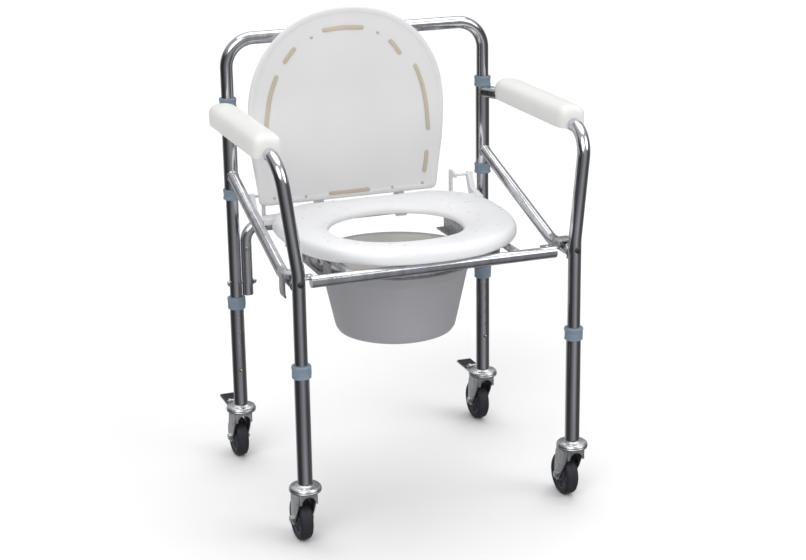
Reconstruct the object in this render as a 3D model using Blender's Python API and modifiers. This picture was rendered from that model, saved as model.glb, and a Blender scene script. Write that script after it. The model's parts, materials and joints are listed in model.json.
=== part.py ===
"""Folding commode chair on casters.

Metres, +Z up. The chair faces -Y. The origin is on the floor, under the middle of its box.
"""
import math

import bpy
import bmesh
from mathutils import Matrix, Vector

# Frame: centre lines of the four legs, and the tubes' sizes.
MID_Y = -0.030                    # halfway between the front and the rear legs
FRONT_Y = MID_Y - 0.197
REAR_Y = MID_Y + 0.197
POST_X = 0.2437
LEG_X = 0.2450
TUBE_R = 0.0111
SLIM_TUBE_R = 0.0100
BRACE_R = 0.0105
OUTER_TUBE_R = 0.0127
BORE_R = 0.0115
GAP = 0.0003
TUBE_TOP = 0.790
INNER_TUBE_END = 0.160

# Sleeves and collars on the rear posts.
SLEEVE_LOW = 0.5225
SLEEVE_HIGH = 0.6685
COLLAR_R = 0.0155
COLLAR_HEIGHT = 0.019
TONGUE_LENGTH = 0.012

# Arms.
ARM_Z = 0.660
ARM_X = 0.269
ARM_BEND_Y = MID_Y + 0.135
LEG_KINK_Z = 0.475
PAD_FRONT = MID_Y - 0.137
PAD_REAR = MID_Y + 0.150
PAD_BOTTOM = 0.654
PAD_TOP = 0.692
PAD_WIDTH = 0.051

# Seat frame. The rear cross tube carries it, and its hooks rest on the brace stubs.
BAR_Z = 0.452
BAR_Y = MID_Y - 0.177
BAR_HALF = 0.218
CROSS_LEG_X = 0.2215
CROSS_LEG_END = 0.322
CROSS_BEND = 0.030
RAIL_X = 0.150
RAIL_Z = 0.4565
RAIL_R = 0.0065
EAR_X = 0.183
SEAT_LUG_X = 0.2105
PIVOT_SLEEVE_R = 0.0140
STUB_Z = 0.4525
STUB_REAR_Y = MID_Y - 0.105
BRACE_TOP_Z = 0.548
HOOK_FRONT = BAR_Y + BRACE_R + GAP
HOOK_REAR = HOOK_FRONT + 0.026
PLATE = 0.003

# The seat and the lid turn about pins that lie on one line.
PIN_Y = MID_Y + 0.184
PIN_Z = 0.507
PIN_R = 0.0025
KNUCKLE_R = 0.0055
BRACKET_X = 0.078
LID_KNUCKLE_X = 0.095

# Seat.
SEAT_HALF_WIDTH = 0.206
SEAT_FRONT = MID_Y - 0.200
SEAT_REAR = MID_Y + 0.184
SEAT_BOTTOM = 0.464
SEAT_TOP = 0.490
HOLE_Y = MID_Y + 0.012
HOLE_HALF_WIDTH = 0.1175
HOLE_HALF_LENGTH = 0.110

# Lid, upright at rest.
LID_X = -0.030
LID_LOW = 0.490
LID_HIGH = 0.837
LID_HALF_WIDTH = 0.185
LID_FOOT_HALF_WIDTH = 0.171
LID_ARCH_Z = 0.650
LID_FACE_Y = MID_Y + 0.170
BUMPER_X = 0.142

# Pail.
PAIL_Y = MID_Y + 0.022
PAIL_RIM_R = 0.150
PAIL_RIM_Z = 0.4185
PAIL_BOTTOM = 0.285
BAIL_R = 0.1445
WIRE_R = 0.0025

# Lower legs and snap buttons.
LOWER_LEG_BOTTOM = 0.1125
LOWER_LEG_TOP = 0.3118
HOLE_PITCH = 0.0254
HOLE_COUNT = 5
BUTTON_Z = 0.181
HOLE_R = 0.0036
BUTTON_R = 0.0030
LEG_COLLAR_R = 0.0165
LEG_COLLAR_LOW = 0.298
LEG_COLLAR_HIGH = 0.320

# Casters.
WHEEL_R = 0.0375
WHEEL_WIDTH = 0.022
WHEEL_SIDES = 24
TRAIL = 0.0276
DISH_TOP = 0.112
DISH_R = 0.0275
FORK_HALF = 0.0145
FORK_PLATE = 0.0025
AXLE_R = 0.004
PEDAL_PIVOT_Y = 0.040
PEDAL_PIVOT_Z = 0.103
PEDAL_REACH = 0.0980
PEDAL_LOW = 0.0935
PEDAL_HIGH = 0.0980

SIDES = (("left", -1), ("right", 1))

# Colour, roughness and metallic value of each material.
FINISHES = {
    "chrome": ((0.75, 0.76, 0.78), 0.12, 1.0),
    "zinc": ((0.62, 0.63, 0.64), 0.35, 1.0),
    "white_plastic": ((0.86, 0.87, 0.88), 0.35, 0.0),
    "grey_plastic": ((0.36, 0.36, 0.38), 0.45, 0.0),
    "collar_plastic": ((0.20, 0.25, 0.30), 0.45, 0.0),
    "beige_rubber": ((0.60, 0.50, 0.38), 0.6, 0.0),
    "black_plastic": ((0.03, 0.03, 0.035), 0.5, 0.0),
    "tyre_rubber": ((0.03, 0.03, 0.045), 0.6, 0.0),
    "brass": ((0.75, 0.55, 0.25), 0.3, 1.0),
}


def clear_scene():
    for item in list(bpy.data.objects):
        bpy.data.objects.remove(item, do_unlink=True)


def new_collection(name):
    collection = bpy.data.collections.new(name)
    bpy.context.scene.collection.children.link(collection)
    return collection


def make_material(name):
    colour, roughness, metallic = FINISHES[name]
    material = bpy.data.materials.new(name)
    material.use_nodes = True
    shader = material.node_tree.nodes["Principled BSDF"]
    shader.inputs["Base Color"].default_value = (*colour, 1.0)
    shader.inputs["Roughness"].default_value = roughness
    shader.inputs["Metallic"].default_value = metallic
    return material


def add_object(name, data):
    item = bpy.data.objects.new(name, data)
    PARTS.objects.link(item)
    return item


def baked(item):
    """Replace an object by the mesh that its modifiers make, with its transform applied."""
    bpy.context.view_layer.update()
    graph = bpy.context.evaluated_depsgraph_get()
    mesh = bpy.data.meshes.new_from_object(item.evaluated_get(graph))
    mesh.transform(item.matrix_world)
    mesh.materials.clear()
    name = item.name
    bpy.data.objects.remove(item, do_unlink=True)
    work = bmesh.new()
    work.from_mesh(mesh)
    bmesh.ops.remove_doubles(work, verts=work.verts, dist=1e-6)
    work.to_mesh(mesh)
    work.free()
    return add_object(name, mesh)


def combine(target, other, operation):
    """Union with another object, or cut by it. The other object moves to the cutters."""
    modifier = target.modifiers.new(operation.lower(), "BOOLEAN")
    modifier.operation = operation
    modifier.solver = "EXACT"
    modifier.object = other
    result = baked(target)
    PARTS.objects.unlink(other)
    CUTTERS.objects.link(other)
    other.hide_render = True
    other.display_type = "WIRE"
    other.name = "cutter_" + other.name
    return result


def union(target, *others):
    for other in others:
        target = combine(target, other, "UNION")
    return target


def cut(target, *others):
    for other in others:
        target = combine(target, other, "DIFFERENCE")
    return target


def box(name, low, high, bevel=0.0):
    mesh = bpy.data.meshes.new(name)
    work = bmesh.new()
    bmesh.ops.create_cube(work, size=1.0)
    low, high = Vector(low), Vector(high)
    bmesh.ops.scale(work, vec=high - low, verts=work.verts)
    bmesh.ops.translate(work, vec=(low + high) / 2, verts=work.verts)
    if bevel:
        bmesh.ops.bevel(work, geom=list(work.edges), offset=bevel, segments=2, profile=0.5, affect="EDGES")
    work.to_mesh(mesh)
    work.free()
    return add_object(name, mesh)


def turned(name, profile, steps, place=None):
    """Turn a profile of (radius, z) points, which runs down its outer side, about Z."""
    hollow = min(radius for radius, _ in profile) > 0
    points = [(radius, 0.0, z) for radius, z in profile]
    edges = [(i, i + 1) for i in range(len(points) - 1)]
    if hollow:
        edges.append((len(points) - 1, 0))
    mesh = bpy.data.meshes.new(name)
    mesh.from_pydata(points, edges, [])
    item = add_object(name, mesh)
    screw = item.modifiers.new("turn", "SCREW")
    screw.steps = steps
    screw.render_steps = steps
    screw.use_merge_vertices = True
    screw.merge_threshold = 1e-5
    if place is not None:
        item.matrix_world = place
    return baked(item)


def along_x(x, y, z):
    """The place of a turned piece whose own axis lies along X."""
    return Matrix.Translation((x, y, z)) @ Matrix.Rotation(math.pi / 2, 4, "Y")


def cylinder(name, radius, low, high, steps, place=None):
    return turned(name, [(0, high), (radius, high), (radius, low), (0, low)], steps, place)


def ring(name, outer, inner, low, high, steps, place=None):
    return turned(name, [(outer, high), (outer, low), (inner, low), (inner, high)], steps, place)


def rounded_path(corners, radii, turn=12.0):
    """Points along straight runs joined by arcs, one radius for each inner corner."""
    corners = [Vector(corner) for corner in corners]
    path = [corners[0]]
    for before, corner, after, radius in zip(corners, corners[1:], corners[2:], radii):
        into = (corner - before).normalized()
        out = (after - corner).normalized()
        angle = into.angle(out)
        reach = radius * math.tan(angle / 2)
        start = corner - into * reach
        axis = into.cross(out).normalized()
        centre = start + axis.cross(into) * radius
        count = max(2, math.ceil(math.degrees(angle) / turn))
        for i in range(count + 1):
            spin = Matrix.Rotation(angle * i / count, 3, axis)
            path.append(centre + spin @ (start - centre))
    path.append(corners[-1])
    return path


def tube(name, path, radius, resolution=3):
    curve = bpy.data.curves.new(name, "CURVE")
    curve.dimensions = "3D"
    curve.bevel_depth = radius
    curve.bevel_resolution = resolution
    curve.use_fill_caps = True
    spline = curve.splines.new("POLY")
    spline.points.add(len(path) - 1)
    for point, place in zip(spline.points, path):
        point.co = (*place, 1.0)
    return baked(add_object(name, curve))


def plate(name, outline, thickness, place):
    """A flat outline in XY, extruded evenly about its plane, then placed."""
    curve = bpy.data.curves.new(name, "CURVE")
    curve.dimensions = "2D"
    curve.fill_mode = "BOTH"
    curve.extrude = thickness / 2
    spline = curve.splines.new("POLY")
    spline.points.add(len(outline) - 1)
    for point, (x, y) in zip(spline.points, outline):
        point.co = (x, y, 0.0, 1.0)
    spline.use_cyclic_u = True
    item = add_object(name, curve)
    item.matrix_world = place
    return baked(item)


def facing_x(x):
    """Places an outline's XY on the object's YZ at this x."""
    return Matrix(((0, 0, 1, x), (1, 0, 0, 0), (0, 1, 0, 0), (0, 0, 0, 1)))


def facing_y(y):
    """Places an outline's XY on the object's XZ at this y."""
    return Matrix(((1, 0, 0, 0), (0, 0, -1, y), (0, 1, 0, 0), (0, 0, 0, 1)))


def band(points, width):
    """The outline of a strip of this width along a line of (x, y) points."""
    points = [Vector(point) for point in points]
    lefts, rights = [], []
    for i, point in enumerate(points):
        into = (point - points[i - 1]).normalized() if i else None
        out = (points[i + 1] - point).normalized() if i + 1 < len(points) else None
        into, out = into or out, out or into
        middle = (into + out).normalized()
        side = Vector((-middle.y, middle.x)) * (width / 2 / middle.dot(into))
        lefts.append(tuple(point + side))
        rights.append(tuple(point - side))
    return lefts + rights[::-1]


def lofted(name, rings, cap):
    """Join rings of equal counts. Without caps, the last ring joins the first."""
    mesh = bpy.data.meshes.new(name)
    work = bmesh.new()
    rows = [[work.verts.new(point) for point in points] for points in rings]
    count = len(rows[0])
    pairs = list(zip(rows, rows[1:]))
    if cap:
        work.faces.new(rows[0])
        work.faces.new(rows[-1][::-1])
    else:
        pairs.append((rows[-1], rows[0]))
    for first, second in pairs:
        for i in range(count):
            j = (i + 1) % count
            work.faces.new((first[i], second[i], second[j], first[j]))
    bmesh.ops.recalc_face_normals(work, faces=work.faces)
    work.to_mesh(mesh)
    work.free()
    return add_object(name, mesh)


def finish(item, material, pivot=(0, 0, 0)):
    """Put the origin on the joint's axis, shade, and give the material."""
    item.data.transform(Matrix.Translation(-Vector(pivot)))
    item.location = pivot
    item.data.shade_smooth()
    item.data.set_sharp_from_angle(angle=math.radians(35))
    item.data.materials.append(MATERIALS[material])


def leg_pocket(x, y, facing):
    """Room inside a leg's inner tube for the snap button and its travel."""
    depth = 0.0045
    surface = y + facing * (TUBE_R + 0.001)
    inner = y + facing * (TUBE_R - depth)
    low = (x - 0.0042, min(surface, inner), INNER_TUBE_END - 0.01)
    high = (x + 0.0042, max(surface, inner), BUTTON_Z + 0.0042)
    return box("pocket", low, high)


def bolt_hole(side, radius=0.0034):
    return cylinder("bolt_hole", radius, -0.05, 0.05, 12, along_x(side * 0.233, REAR_Y, 0.346))


def make_backrest_tube():
    corners = [
        (-POST_X, REAR_Y, INNER_TUBE_END),
        (-POST_X, REAR_Y, TUBE_TOP),
        (POST_X, REAR_Y, TUBE_TOP),
        (POST_X, REAR_Y, INNER_TUBE_END),
    ]
    item = tube("backrest_tube", rounded_path(corners, (0.050, 0.050)), TUBE_R)
    for _, side in SIDES:
        item = cut(item, leg_pocket(side * POST_X, REAR_Y, -1), bolt_hole(side))
    finish(item, "chrome")


def make_rear_cross_tube():
    corners = [
        (-CROSS_LEG_X, REAR_Y, CROSS_LEG_END),
        (-CROSS_LEG_X, REAR_Y, BAR_Z),
        (CROSS_LEG_X, REAR_Y, BAR_Z),
        (CROSS_LEG_X, REAR_Y, CROSS_LEG_END),
    ]
    item = tube("rear_cross_tube", rounded_path(corners, (CROSS_BEND, CROSS_BEND)), SLIM_TUBE_R)
    for _, side in SIDES:
        item = cut(item, bolt_hole(side))
    finish(item, "chrome")


def make_cross_bolt(label, side):
    """A bolt from the outside of the post through the cross tube's leg, with its nut."""
    head, nut, shaft = 0.0050, 0.0055, 0.0030
    head_face = POST_X + TUBE_R + GAP
    nut_face = CROSS_LEG_X - SLIM_TUBE_R - GAP
    profile = [
        (0, head_face + 0.0035), (head, head_face + 0.0035), (head, head_face), (shaft, head_face),
        (shaft, nut_face), (nut, nut_face), (nut, nut_face - 0.005), (0, nut_face - 0.005),
    ]
    spin = Matrix.Rotation(side * math.pi / 2, 4, "Y")
    item = turned("cross_tube_bolt_" + label, profile, 12, Matrix.Translation((0, REAR_Y, 0.346)) @ spin)
    finish(item, "zinc")


def make_sleeve(label, side):
    place = Matrix.Translation((side * POST_X, REAR_Y, 0))
    item = ring(
        "swivel_sleeve_" + label, OUTER_TUBE_R, BORE_R, SLEEVE_LOW + GAP, SLEEVE_HIGH - GAP, 24, place
    )
    finish(item, "chrome", (side * POST_X, REAR_Y, SLEEVE_LOW))


def make_post_collar(label, side, level, low, tongue_up):
    place = Matrix.Translation((side * POST_X, REAR_Y, 0))
    high = low + COLLAR_HEIGHT
    item = ring(f"post_collar_{level}_{label}", COLLAR_R, BORE_R, low, high, 20, place)
    tongue_low = low + 0.004 if tongue_up else low - TONGUE_LENGTH
    tongue_high = high + TONGUE_LENGTH if tongue_up else high - 0.004
    near = REAR_Y + OUTER_TUBE_R + 2 * GAP
    tongue = box(
        "tongue", (side * POST_X - 0.004, near, tongue_low), (side * POST_X + 0.004, near + 0.0035, tongue_high)
    )
    finish(union(item, tongue), "collar_plastic")


def arm_path(side):
    corners = [
        (side * POST_X, REAR_Y - 0.004, ARM_Z),
        (side * ARM_X, ARM_BEND_Y, ARM_Z),
        (side * (ARM_X - 0.001), MID_Y - 0.187, ARM_Z),
        (side * LEG_X, FRONT_Y, LEG_KINK_Z),
        (side * LEG_X, FRONT_Y, INNER_TUBE_END),
    ]
    return rounded_path(corners, (0.050, 0.050, 0.080))


def sleeve_cope(side):
    """The sleeve's outside with clearance: it gives a tube welded to it a fish-mouth end."""
    place = Matrix.Translation((side * POST_X, REAR_Y, 0))
    return cylinder("cope", OUTER_TUBE_R + 2 * GAP, 0.50, 0.70, 24, place)


def make_arm_tube(label, side):
    item = tube("arm_and_leg_tube_" + label, arm_path(side), TUBE_R)
    place = Matrix.Translation((side * POST_X, REAR_Y, 0))
    collar_room = cylinder("collar_room", COLLAR_R + 2 * GAP, SLEEVE_HIGH - GAP, 0.70, 24, place)
    item = cut(item, sleeve_cope(side), collar_room, leg_pocket(side * LEG_X, FRONT_Y, 1))
    finish(item, "chrome", (side * POST_X, REAR_Y, ARM_Z))


def make_arm_pad(label, side):
    """A moulded pad with a crowned top and round ends, hollowed to sit over the tube."""
    half = PAD_WIDTH / 2
    section = [
        (-half, PAD_BOTTOM), (-half, 0.676), (-0.86 * half, 0.684), (-0.55 * half, 0.690), (0, PAD_TOP),
        (0.55 * half, 0.690), (0.86 * half, 0.684), (half, 0.676), (half, PAD_BOTTOM),
    ]
    length = PAD_REAR - PAD_FRONT
    rings = []
    for along, wide, drop in (
        (0.0, 0.72, 0.010), (0.012, 0.88, 0.004), (0.035, 0.97, 0.001), (0.08, 1.0, 0.0),
        (0.92, 1.0, 0.0), (0.965, 0.97, 0.001), (0.988, 0.88, 0.004), (1.0, 0.72, 0.010),
    ):
        y = PAD_FRONT + along * length
        rings.append([
            (side * ARM_X + x * wide, y, z - drop * (z - PAD_BOTTOM) / (PAD_TOP - PAD_BOTTOM))
            for x, z in section
        ])
    item = lofted("arm_pad_" + label, rings, cap=True)
    channel = tube("channel", arm_path(side), TUBE_R + 2 * GAP)
    finish(cut(item, channel), "white_plastic")


def make_brace(label, side):
    corners = [
        (side * POST_X, REAR_Y - 0.004, BRACE_TOP_Z + 0.0025),
        (side * LEG_X, STUB_REAR_Y, STUB_Z),
        (side * LEG_X, FRONT_Y + 0.004, STUB_Z),
    ]
    item = tube("diagonal_brace_" + label, rounded_path(corners, (0.040,)), BRACE_R)
    leg = cylinder("leg_cope", TUBE_R + 2 * GAP, 0.40, 0.50, 24, Matrix.Translation((side * LEG_X, FRONT_Y, 0)))
    finish(cut(item, sleeve_cope(side), leg), "chrome")


def make_leg_plug(label, side):
    place = Matrix.Translation((side * LEG_X, FRONT_Y, 0.459)) @ Matrix.Rotation(math.pi / 2, 4, "X")
    profile = [(0, 0.0155), (0.0035, 0.0155), (0.0050, 0.0140), (0.0050, TUBE_R + GAP), (0, TUBE_R + GAP)]
    finish(turned("leg_plug_" + label, profile, 12, place), "black_plastic")


def make_crossbar():
    path = [(-BAR_HALF, BAR_Y, BAR_Z), (BAR_HALF, BAR_Y, BAR_Z)]
    finish(tube("front_crossbar", path, BRACE_R), "chrome", (0, REAR_Y, BAR_Z))


def make_hook(label, side):
    """A strip bent up from the crossbar's end, over the brace stub and down its far side."""
    line = [
        (side * 0.206, 0.4535), (side * 0.2305, 0.4535), (side * 0.2305, 0.4625), (side * 0.2335, 0.4655),
        (side * 0.2565, 0.4655), (side * 0.2595, 0.4625), (side * 0.2595, 0.4330), (side * 0.2575, 0.4255),
    ]
    middle = (HOOK_FRONT + HOOK_REAR) / 2
    item = plate("hook_" + label, band(line, PLATE), HOOK_REAR - HOOK_FRONT, facing_y(middle))
    finish(item, "zinc", (0, REAR_Y, BAR_Z))


def make_side_rail(label, side):
    """A rail that turns on the cross tube, with an ear and a pin for the seat."""
    rail = tube(
        "side_rail_" + label, [(side * RAIL_X, BAR_Y, RAIL_Z), (side * RAIL_X, REAR_Y - 0.011, RAIL_Z)], RAIL_R, 2
    )
    inner, outer = RAIL_X - 0.009, EAR_X + 0.002
    barrel = cylinder(
        "barrel", PIVOT_SLEEVE_R, 0, outer - inner, 20, along_x(min(side * inner, side * outer), REAR_Y, BAR_Z)
    )
    outline = [
        (REAR_Y + 0.0045, BAR_Z), (REAR_Y + 0.0125, BAR_Z), (REAR_Y + 0.0150, BAR_Z + 0.012),
        (REAR_Y + 0.0150, PIN_Z + 0.001), (REAR_Y + 0.0110, PIN_Z + 0.0055), (PIN_Y, PIN_Z + 0.0055),
        (PIN_Y - 0.0045, PIN_Z + 0.0030), (PIN_Y - 0.0045, PIN_Z - 0.0030), (PIN_Y, PIN_Z - 0.0055),
        (REAR_Y + 0.0045, PIN_Z - 0.0055),
    ]
    ear = plate("ear", outline, 0.0036, facing_x(side * EAR_X))
    pin_end = SEAT_LUG_X + 0.007
    pin_low = min(side * EAR_X, side * pin_end)
    pin = cylinder("pin", PIN_R, 0, pin_end - EAR_X, 12, along_x(pin_low, PIN_Y, PIN_Z))
    bore = cylinder("bore", SLIM_TUBE_R + 0.0004, -0.06, 0.06, 20, along_x(side * RAIL_X, REAR_Y, BAR_Z))
    bar = cylinder("bar_cope", BRACE_R + GAP, -0.05, 0.05, 20, along_x(side * RAIL_X, BAR_Y, BAR_Z))
    item = cut(union(rail, barrel, ear, pin), bore, bar)
    finish(item, "zinc", (0, REAR_Y, BAR_Z))


def make_pail_rail(label, side):
    """A strip under the side rail, stepped down and in to carry the pail's rim."""
    top = RAIL_Z - RAIL_R - GAP - PLATE / 2
    lip = PAIL_RIM_Z - 0.003 - GAP - PLATE / 2
    line = [(side * 0.1430, top), (side * 0.1545, top), (side * 0.1545, lip), (side * 0.1385, lip)]
    front, rear = MID_Y - 0.085, REAR_Y - 0.028
    item = plate("pail_rail_" + label, band(line, PLATE), rear - front, facing_y((front + rear) / 2))
    low_x, high_x = sorted((side * 0.1500, side * 0.1600))
    window = box("window", (low_x, MID_Y - 0.050, lip + PLATE), (high_x, MID_Y + 0.060, top - PLATE))
    item = cut(item, window)
    finish(item, "zinc", (0, REAR_Y, BAR_Z))


def seat_outline(angle):
    """The seat's outer edge: widest behind its middle, flatter at the back."""
    c, s = math.cos(angle), math.sin(angle)
    power = 2.35 if s < 0 else 3.1
    reach = (SEAT_REAR - MID_Y - 0.028) if s > 0 else (MID_Y + 0.028 - SEAT_FRONT)
    radius = (abs(c) ** power + abs(s) ** power) ** (-1 / power)
    return Vector((SEAT_HALF_WIDTH * radius * c, MID_Y + 0.028 + reach * radius * s))


def hole_outline(angle):
    power = 2.2
    c, s = math.cos(angle), math.sin(angle)
    radius = (abs(c) ** power + abs(s) ** power) ** (-1 / power)
    return Vector((HOLE_HALF_WIDTH * radius * c, HOLE_Y + HOLE_HALF_LENGTH * radius * s))


def seat_height(z, y):
    """The rear of the seat is a lower, flat platform, which leaves room for the lid's edge."""
    limit = 0.4832 if y > LID_FACE_Y - 0.012 else SEAT_TOP
    return min(z, limit)


def make_seat():
    """A ring whose section runs over the crown, round the outer lip and back underneath."""
    section = [
        (0.00, 0.4655), (0.02, 0.4720), (0.10, 0.4775), (0.30, 0.4850), (0.60, 0.4895), (0.85, 0.4900),
        (0.95, 0.4860), (1.00, 0.4770), (0.985, 0.4690), (0.94, SEAT_BOTTOM), (0.08, SEAT_BOTTOM),
    ]
    count = 32
    rings = []
    for i in range(count):
        angle = 2 * math.pi * (i + 0.5) / count
        inner, outer = hole_outline(angle), seat_outline(angle)
        points = []
        for part, z in section:
            place = inner.lerp(outer, part)
            points.append((place.x, place.y, seat_height(z, place.y)))
        rings.append(points)
    item = lofted("seat", rings, cap=False)
    for _, side in SIDES:
        item = union(item, *seat_lug(side))
    finish(item, "white_plastic", (0, PIN_Y, PIN_Z))


def seat_lug(side):
    """An arm from the seat's rear corner up to its pin."""
    centre = side * SEAT_LUG_X
    outline = [
        (PIN_Y - 0.058, 0.4665), (PIN_Y - 0.012, 0.4665), (PIN_Y + 0.0055, PIN_Z - 0.004),
        (PIN_Y + 0.0040, PIN_Z + 0.0040), (PIN_Y, PIN_Z + 0.0055), (PIN_Y - 0.0040, PIN_Z + 0.0040),
        (PIN_Y - 0.020, 0.4850), (PIN_Y - 0.058, 0.4790),
    ]
    arm = plate("lug_arm", outline, 0.0100, facing_x(centre))
    inner, outer = sorted((side * 0.150, side * (SEAT_LUG_X + 0.0048)))
    bridge = box("lug_bridge", (inner, PIN_Y - 0.058, 0.4665), (outer, PIN_Y - 0.030, 0.4790))
    hole = cylinder("lug_hole", PIN_R + 0.0004, -0.012, 0.012, 12, along_x(centre, PIN_Y, PIN_Z))
    return (cut(arm, hole), bridge)


def lid_outline():
    """Half of the lid's edge, from the hinge end's middle to the top: square shoulders, then an arch."""
    corner = 0.022
    points = [(0.0, LID_LOW), (0.090, LID_LOW)]
    for i in range(5):
        angle = math.pi / 2 * i / 4
        x = LID_FOOT_HALF_WIDTH - corner + corner * math.sin(angle)
        points.append((x, LID_LOW + corner - corner * math.cos(angle)))
    points.append((0.5 * (LID_FOOT_HALF_WIDTH + LID_HALF_WIDTH) + 0.004, 0.570))
    for i in range(11):
        angle = math.pi / 2 * i / 10
        wide = math.cos(angle) ** 0.92
        high = math.sin(angle) ** 0.92
        points.append((LID_HALF_WIDTH * wide, LID_ARCH_Z + (LID_HIGH - LID_ARCH_Z) * high))
    return points


def lid_edge(inset):
    """The whole edge, drawn in towards the lid's middle by the inset."""
    middle = (LID_LOW + LID_HIGH) / 2
    wide = 1 - inset / LID_HALF_WIDTH
    high = 1 - inset / (middle - LID_LOW)
    half = [(x * wide, middle + (z - middle) * high) for x, z in lid_outline()]
    return half[:-1] + [(-x, z) for x, z in reversed(half[1:])]


def make_lid():
    """A thin shell with its rim turned towards the seat side, which faces front when open."""
    layers = [
        (0.030, 0.0042), (0.013, 0.0040), (0.008, 0.0004), (0.003, 0.0), (0.0, 0.0024), (0.003, 0.0058),
        (0.012, 0.0072), (0.060, 0.0086),
    ]
    rings = []
    for inset, depth in layers:
        rings.append([(LID_X + x, LID_FACE_Y + depth, z) for x, z in lid_edge(inset)])
    item = lofted("lid", rings, cap=True)
    for _, side in SIDES:
        centre = side * LID_KNUCKLE_X
        knuckle = cylinder("lid_knuckle", KNUCKLE_R, -0.005, 0.005, 12, along_x(centre, PIN_Y, PIN_Z))
        web = box(
            "lid_web", (centre - 0.005, LID_FACE_Y + 0.0055, PIN_Z - 0.005),
            (centre + 0.005, PIN_Y, PIN_Z + KNUCKLE_R),
        )
        hole = cylinder("lid_hole", PIN_R + 0.0004, -0.02, 0.02, 12, along_x(centre, PIN_Y, PIN_Z))
        item = union(item, cut(union(knuckle, web), hole))
    finish(item, "white_plastic", (0, PIN_Y, PIN_Z))


def make_bumper(label, side):
    """A long soft strip down the lid's side, on the face that meets the seat."""
    x = LID_X + side * BUMPER_X
    line = [(x - side * 0.010, 0.722), (x + side * 0.004, 0.675), (x + side * 0.010, 0.625)]
    item = plate("lid_bumper_" + label, band(line, 0.007), 0.0030, facing_y(LID_FACE_Y + 0.0022))
    finish(item, "beige_rubber", (0, PIN_Y, PIN_Z))


def make_lid_bracket(label, side):
    """A clip on the cross tube with a neck that reaches over the lid's edge to its pin."""
    centre = side * BRACKET_X
    wide = 0.018
    back, neck = REAR_Y + 0.0045, REAR_Y + 0.0150
    outline = [
        (back, BAR_Z), (neck, BAR_Z), (neck, PIN_Z + 0.003), (neck - 0.003, PIN_Z + 0.006),
        (PIN_Y, PIN_Z + KNUCKLE_R), (PIN_Y - 0.0045, PIN_Z + 0.003), (PIN_Y - 0.0050, PIN_Z),
        (PIN_Y - 0.0030, PIN_Z - 0.0045), (PIN_Y, PIN_Z - KNUCKLE_R), (back, PIN_Z - KNUCKLE_R),
    ]
    bracket = plate("lid_bracket_" + label, outline, wide, facing_x(centre))
    clip = cylinder("clip", 0.0150, -wide / 2, wide / 2, 20, along_x(centre, REAR_Y, BAR_Z))
    pin_end = LID_KNUCKLE_X + 0.006
    inner = min(centre, side * pin_end)
    pin = cylinder("lid_pin", PIN_R, 0, pin_end - BRACKET_X, 12, along_x(inner, PIN_Y, PIN_Z))
    bore = cylinder("clip_bore", SLIM_TUBE_R + 0.0004, -0.03, 0.03, 20, along_x(centre, REAR_Y, BAR_Z))
    finish(cut(union(bracket, clip, pin), bore), "white_plastic")


def make_pail():
    """A tapered bowl with a flat rim, a stepped floor and two ears for the bail."""
    rim = PAIL_RIM_Z
    profile = [
        (0, PAIL_BOTTOM + 0.012), (0.045, PAIL_BOTTOM + 0.011), (0.048, PAIL_BOTTOM + 0.006),
        (0.094, PAIL_BOTTOM + 0.006), (0.105, PAIL_BOTTOM + 0.016), (0.1265, rim - 0.022),
        (0.1320, rim - 0.004), (0.1370, rim), (PAIL_RIM_R, rim), (PAIL_RIM_R, rim - 0.003),
        (0.1365, rim - 0.003), (0.1300, rim - 0.022), (0.1085, PAIL_BOTTOM + 0.014),
        (0.0970, PAIL_BOTTOM), (0, PAIL_BOTTOM),
    ]
    item = turned("pail", profile, 32, Matrix.Translation((0, PAIL_Y, 0)))
    for _, side in SIDES:
        near, far = side * 0.1380, side * 0.1412
        ear = box(
            "pail_ear", (min(near, far), PAIL_Y - 0.006, rim - 0.002), (max(near, far), PAIL_Y + 0.006, rim + 0.0075)
        )
        item = union(item, ear)
    finish(item, "grey_plastic", (0, PAIL_Y, PAIL_RIM_Z))


def make_bail():
    """A wire hoop that lies forward on the pail's rim."""
    z = PAIL_RIM_Z + WIRE_R + 2 * GAP
    path = [(-0.1417, PAIL_Y, z), (-0.1440, PAIL_Y, z)]
    count = 18
    for i in range(1, count):
        angle = math.pi + math.pi * i / count
        path.append((BAIL_R * math.cos(angle), PAIL_Y + BAIL_R * math.sin(angle), z))
    path += [(0.1440, PAIL_Y, z), (0.1417, PAIL_Y, z)]
    finish(tube("pail_bail", path, WIRE_R, 1), "zinc", (0, PAIL_Y, z))


def make_lower_leg(label, x, y, facing):
    """An outer tube, closed at its foot, with a row of height holes on one side."""
    place = Matrix.Translation((x, y, 0))
    floor = INNER_TUBE_END - 0.020
    profile = [
        (0, floor), (BORE_R, floor), (BORE_R, LOWER_LEG_TOP), (OUTER_TUBE_R, LOWER_LEG_TOP),
        (OUTER_TUBE_R, LOWER_LEG_BOTTOM), (0, LOWER_LEG_BOTTOM),
    ]
    item = turned("lower_leg_" + label, profile, 20, place)
    for k in range(HOLE_COUNT):
        z = BUTTON_Z + k * HOLE_PITCH
        spin = Matrix.Rotation(-facing * math.pi / 2, 4, "X")
        hole = cylinder("height_hole", HOLE_R, 0.009, 0.016, 8, Matrix.Translation((x, y, z)) @ spin)
        item = cut(item, hole)
    finish(item, "chrome", (x, y, LOWER_LEG_BOTTOM))


def make_leg_collar(label, x, y):
    step = LOWER_LEG_TOP + GAP
    profile = [
        (LEG_COLLAR_R, LEG_COLLAR_HIGH), (LEG_COLLAR_R, LEG_COLLAR_LOW),
        (OUTER_TUBE_R + 2 * GAP, LEG_COLLAR_LOW), (OUTER_TUBE_R + 2 * GAP, step), (BORE_R, step),
        (BORE_R, LEG_COLLAR_HIGH),
    ]
    item = turned("leg_collar_" + label, profile, 20, Matrix.Translation((x, y, 0)))
    finish(item, "collar_plastic", (x, y, LOWER_LEG_BOTTOM))


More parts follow.
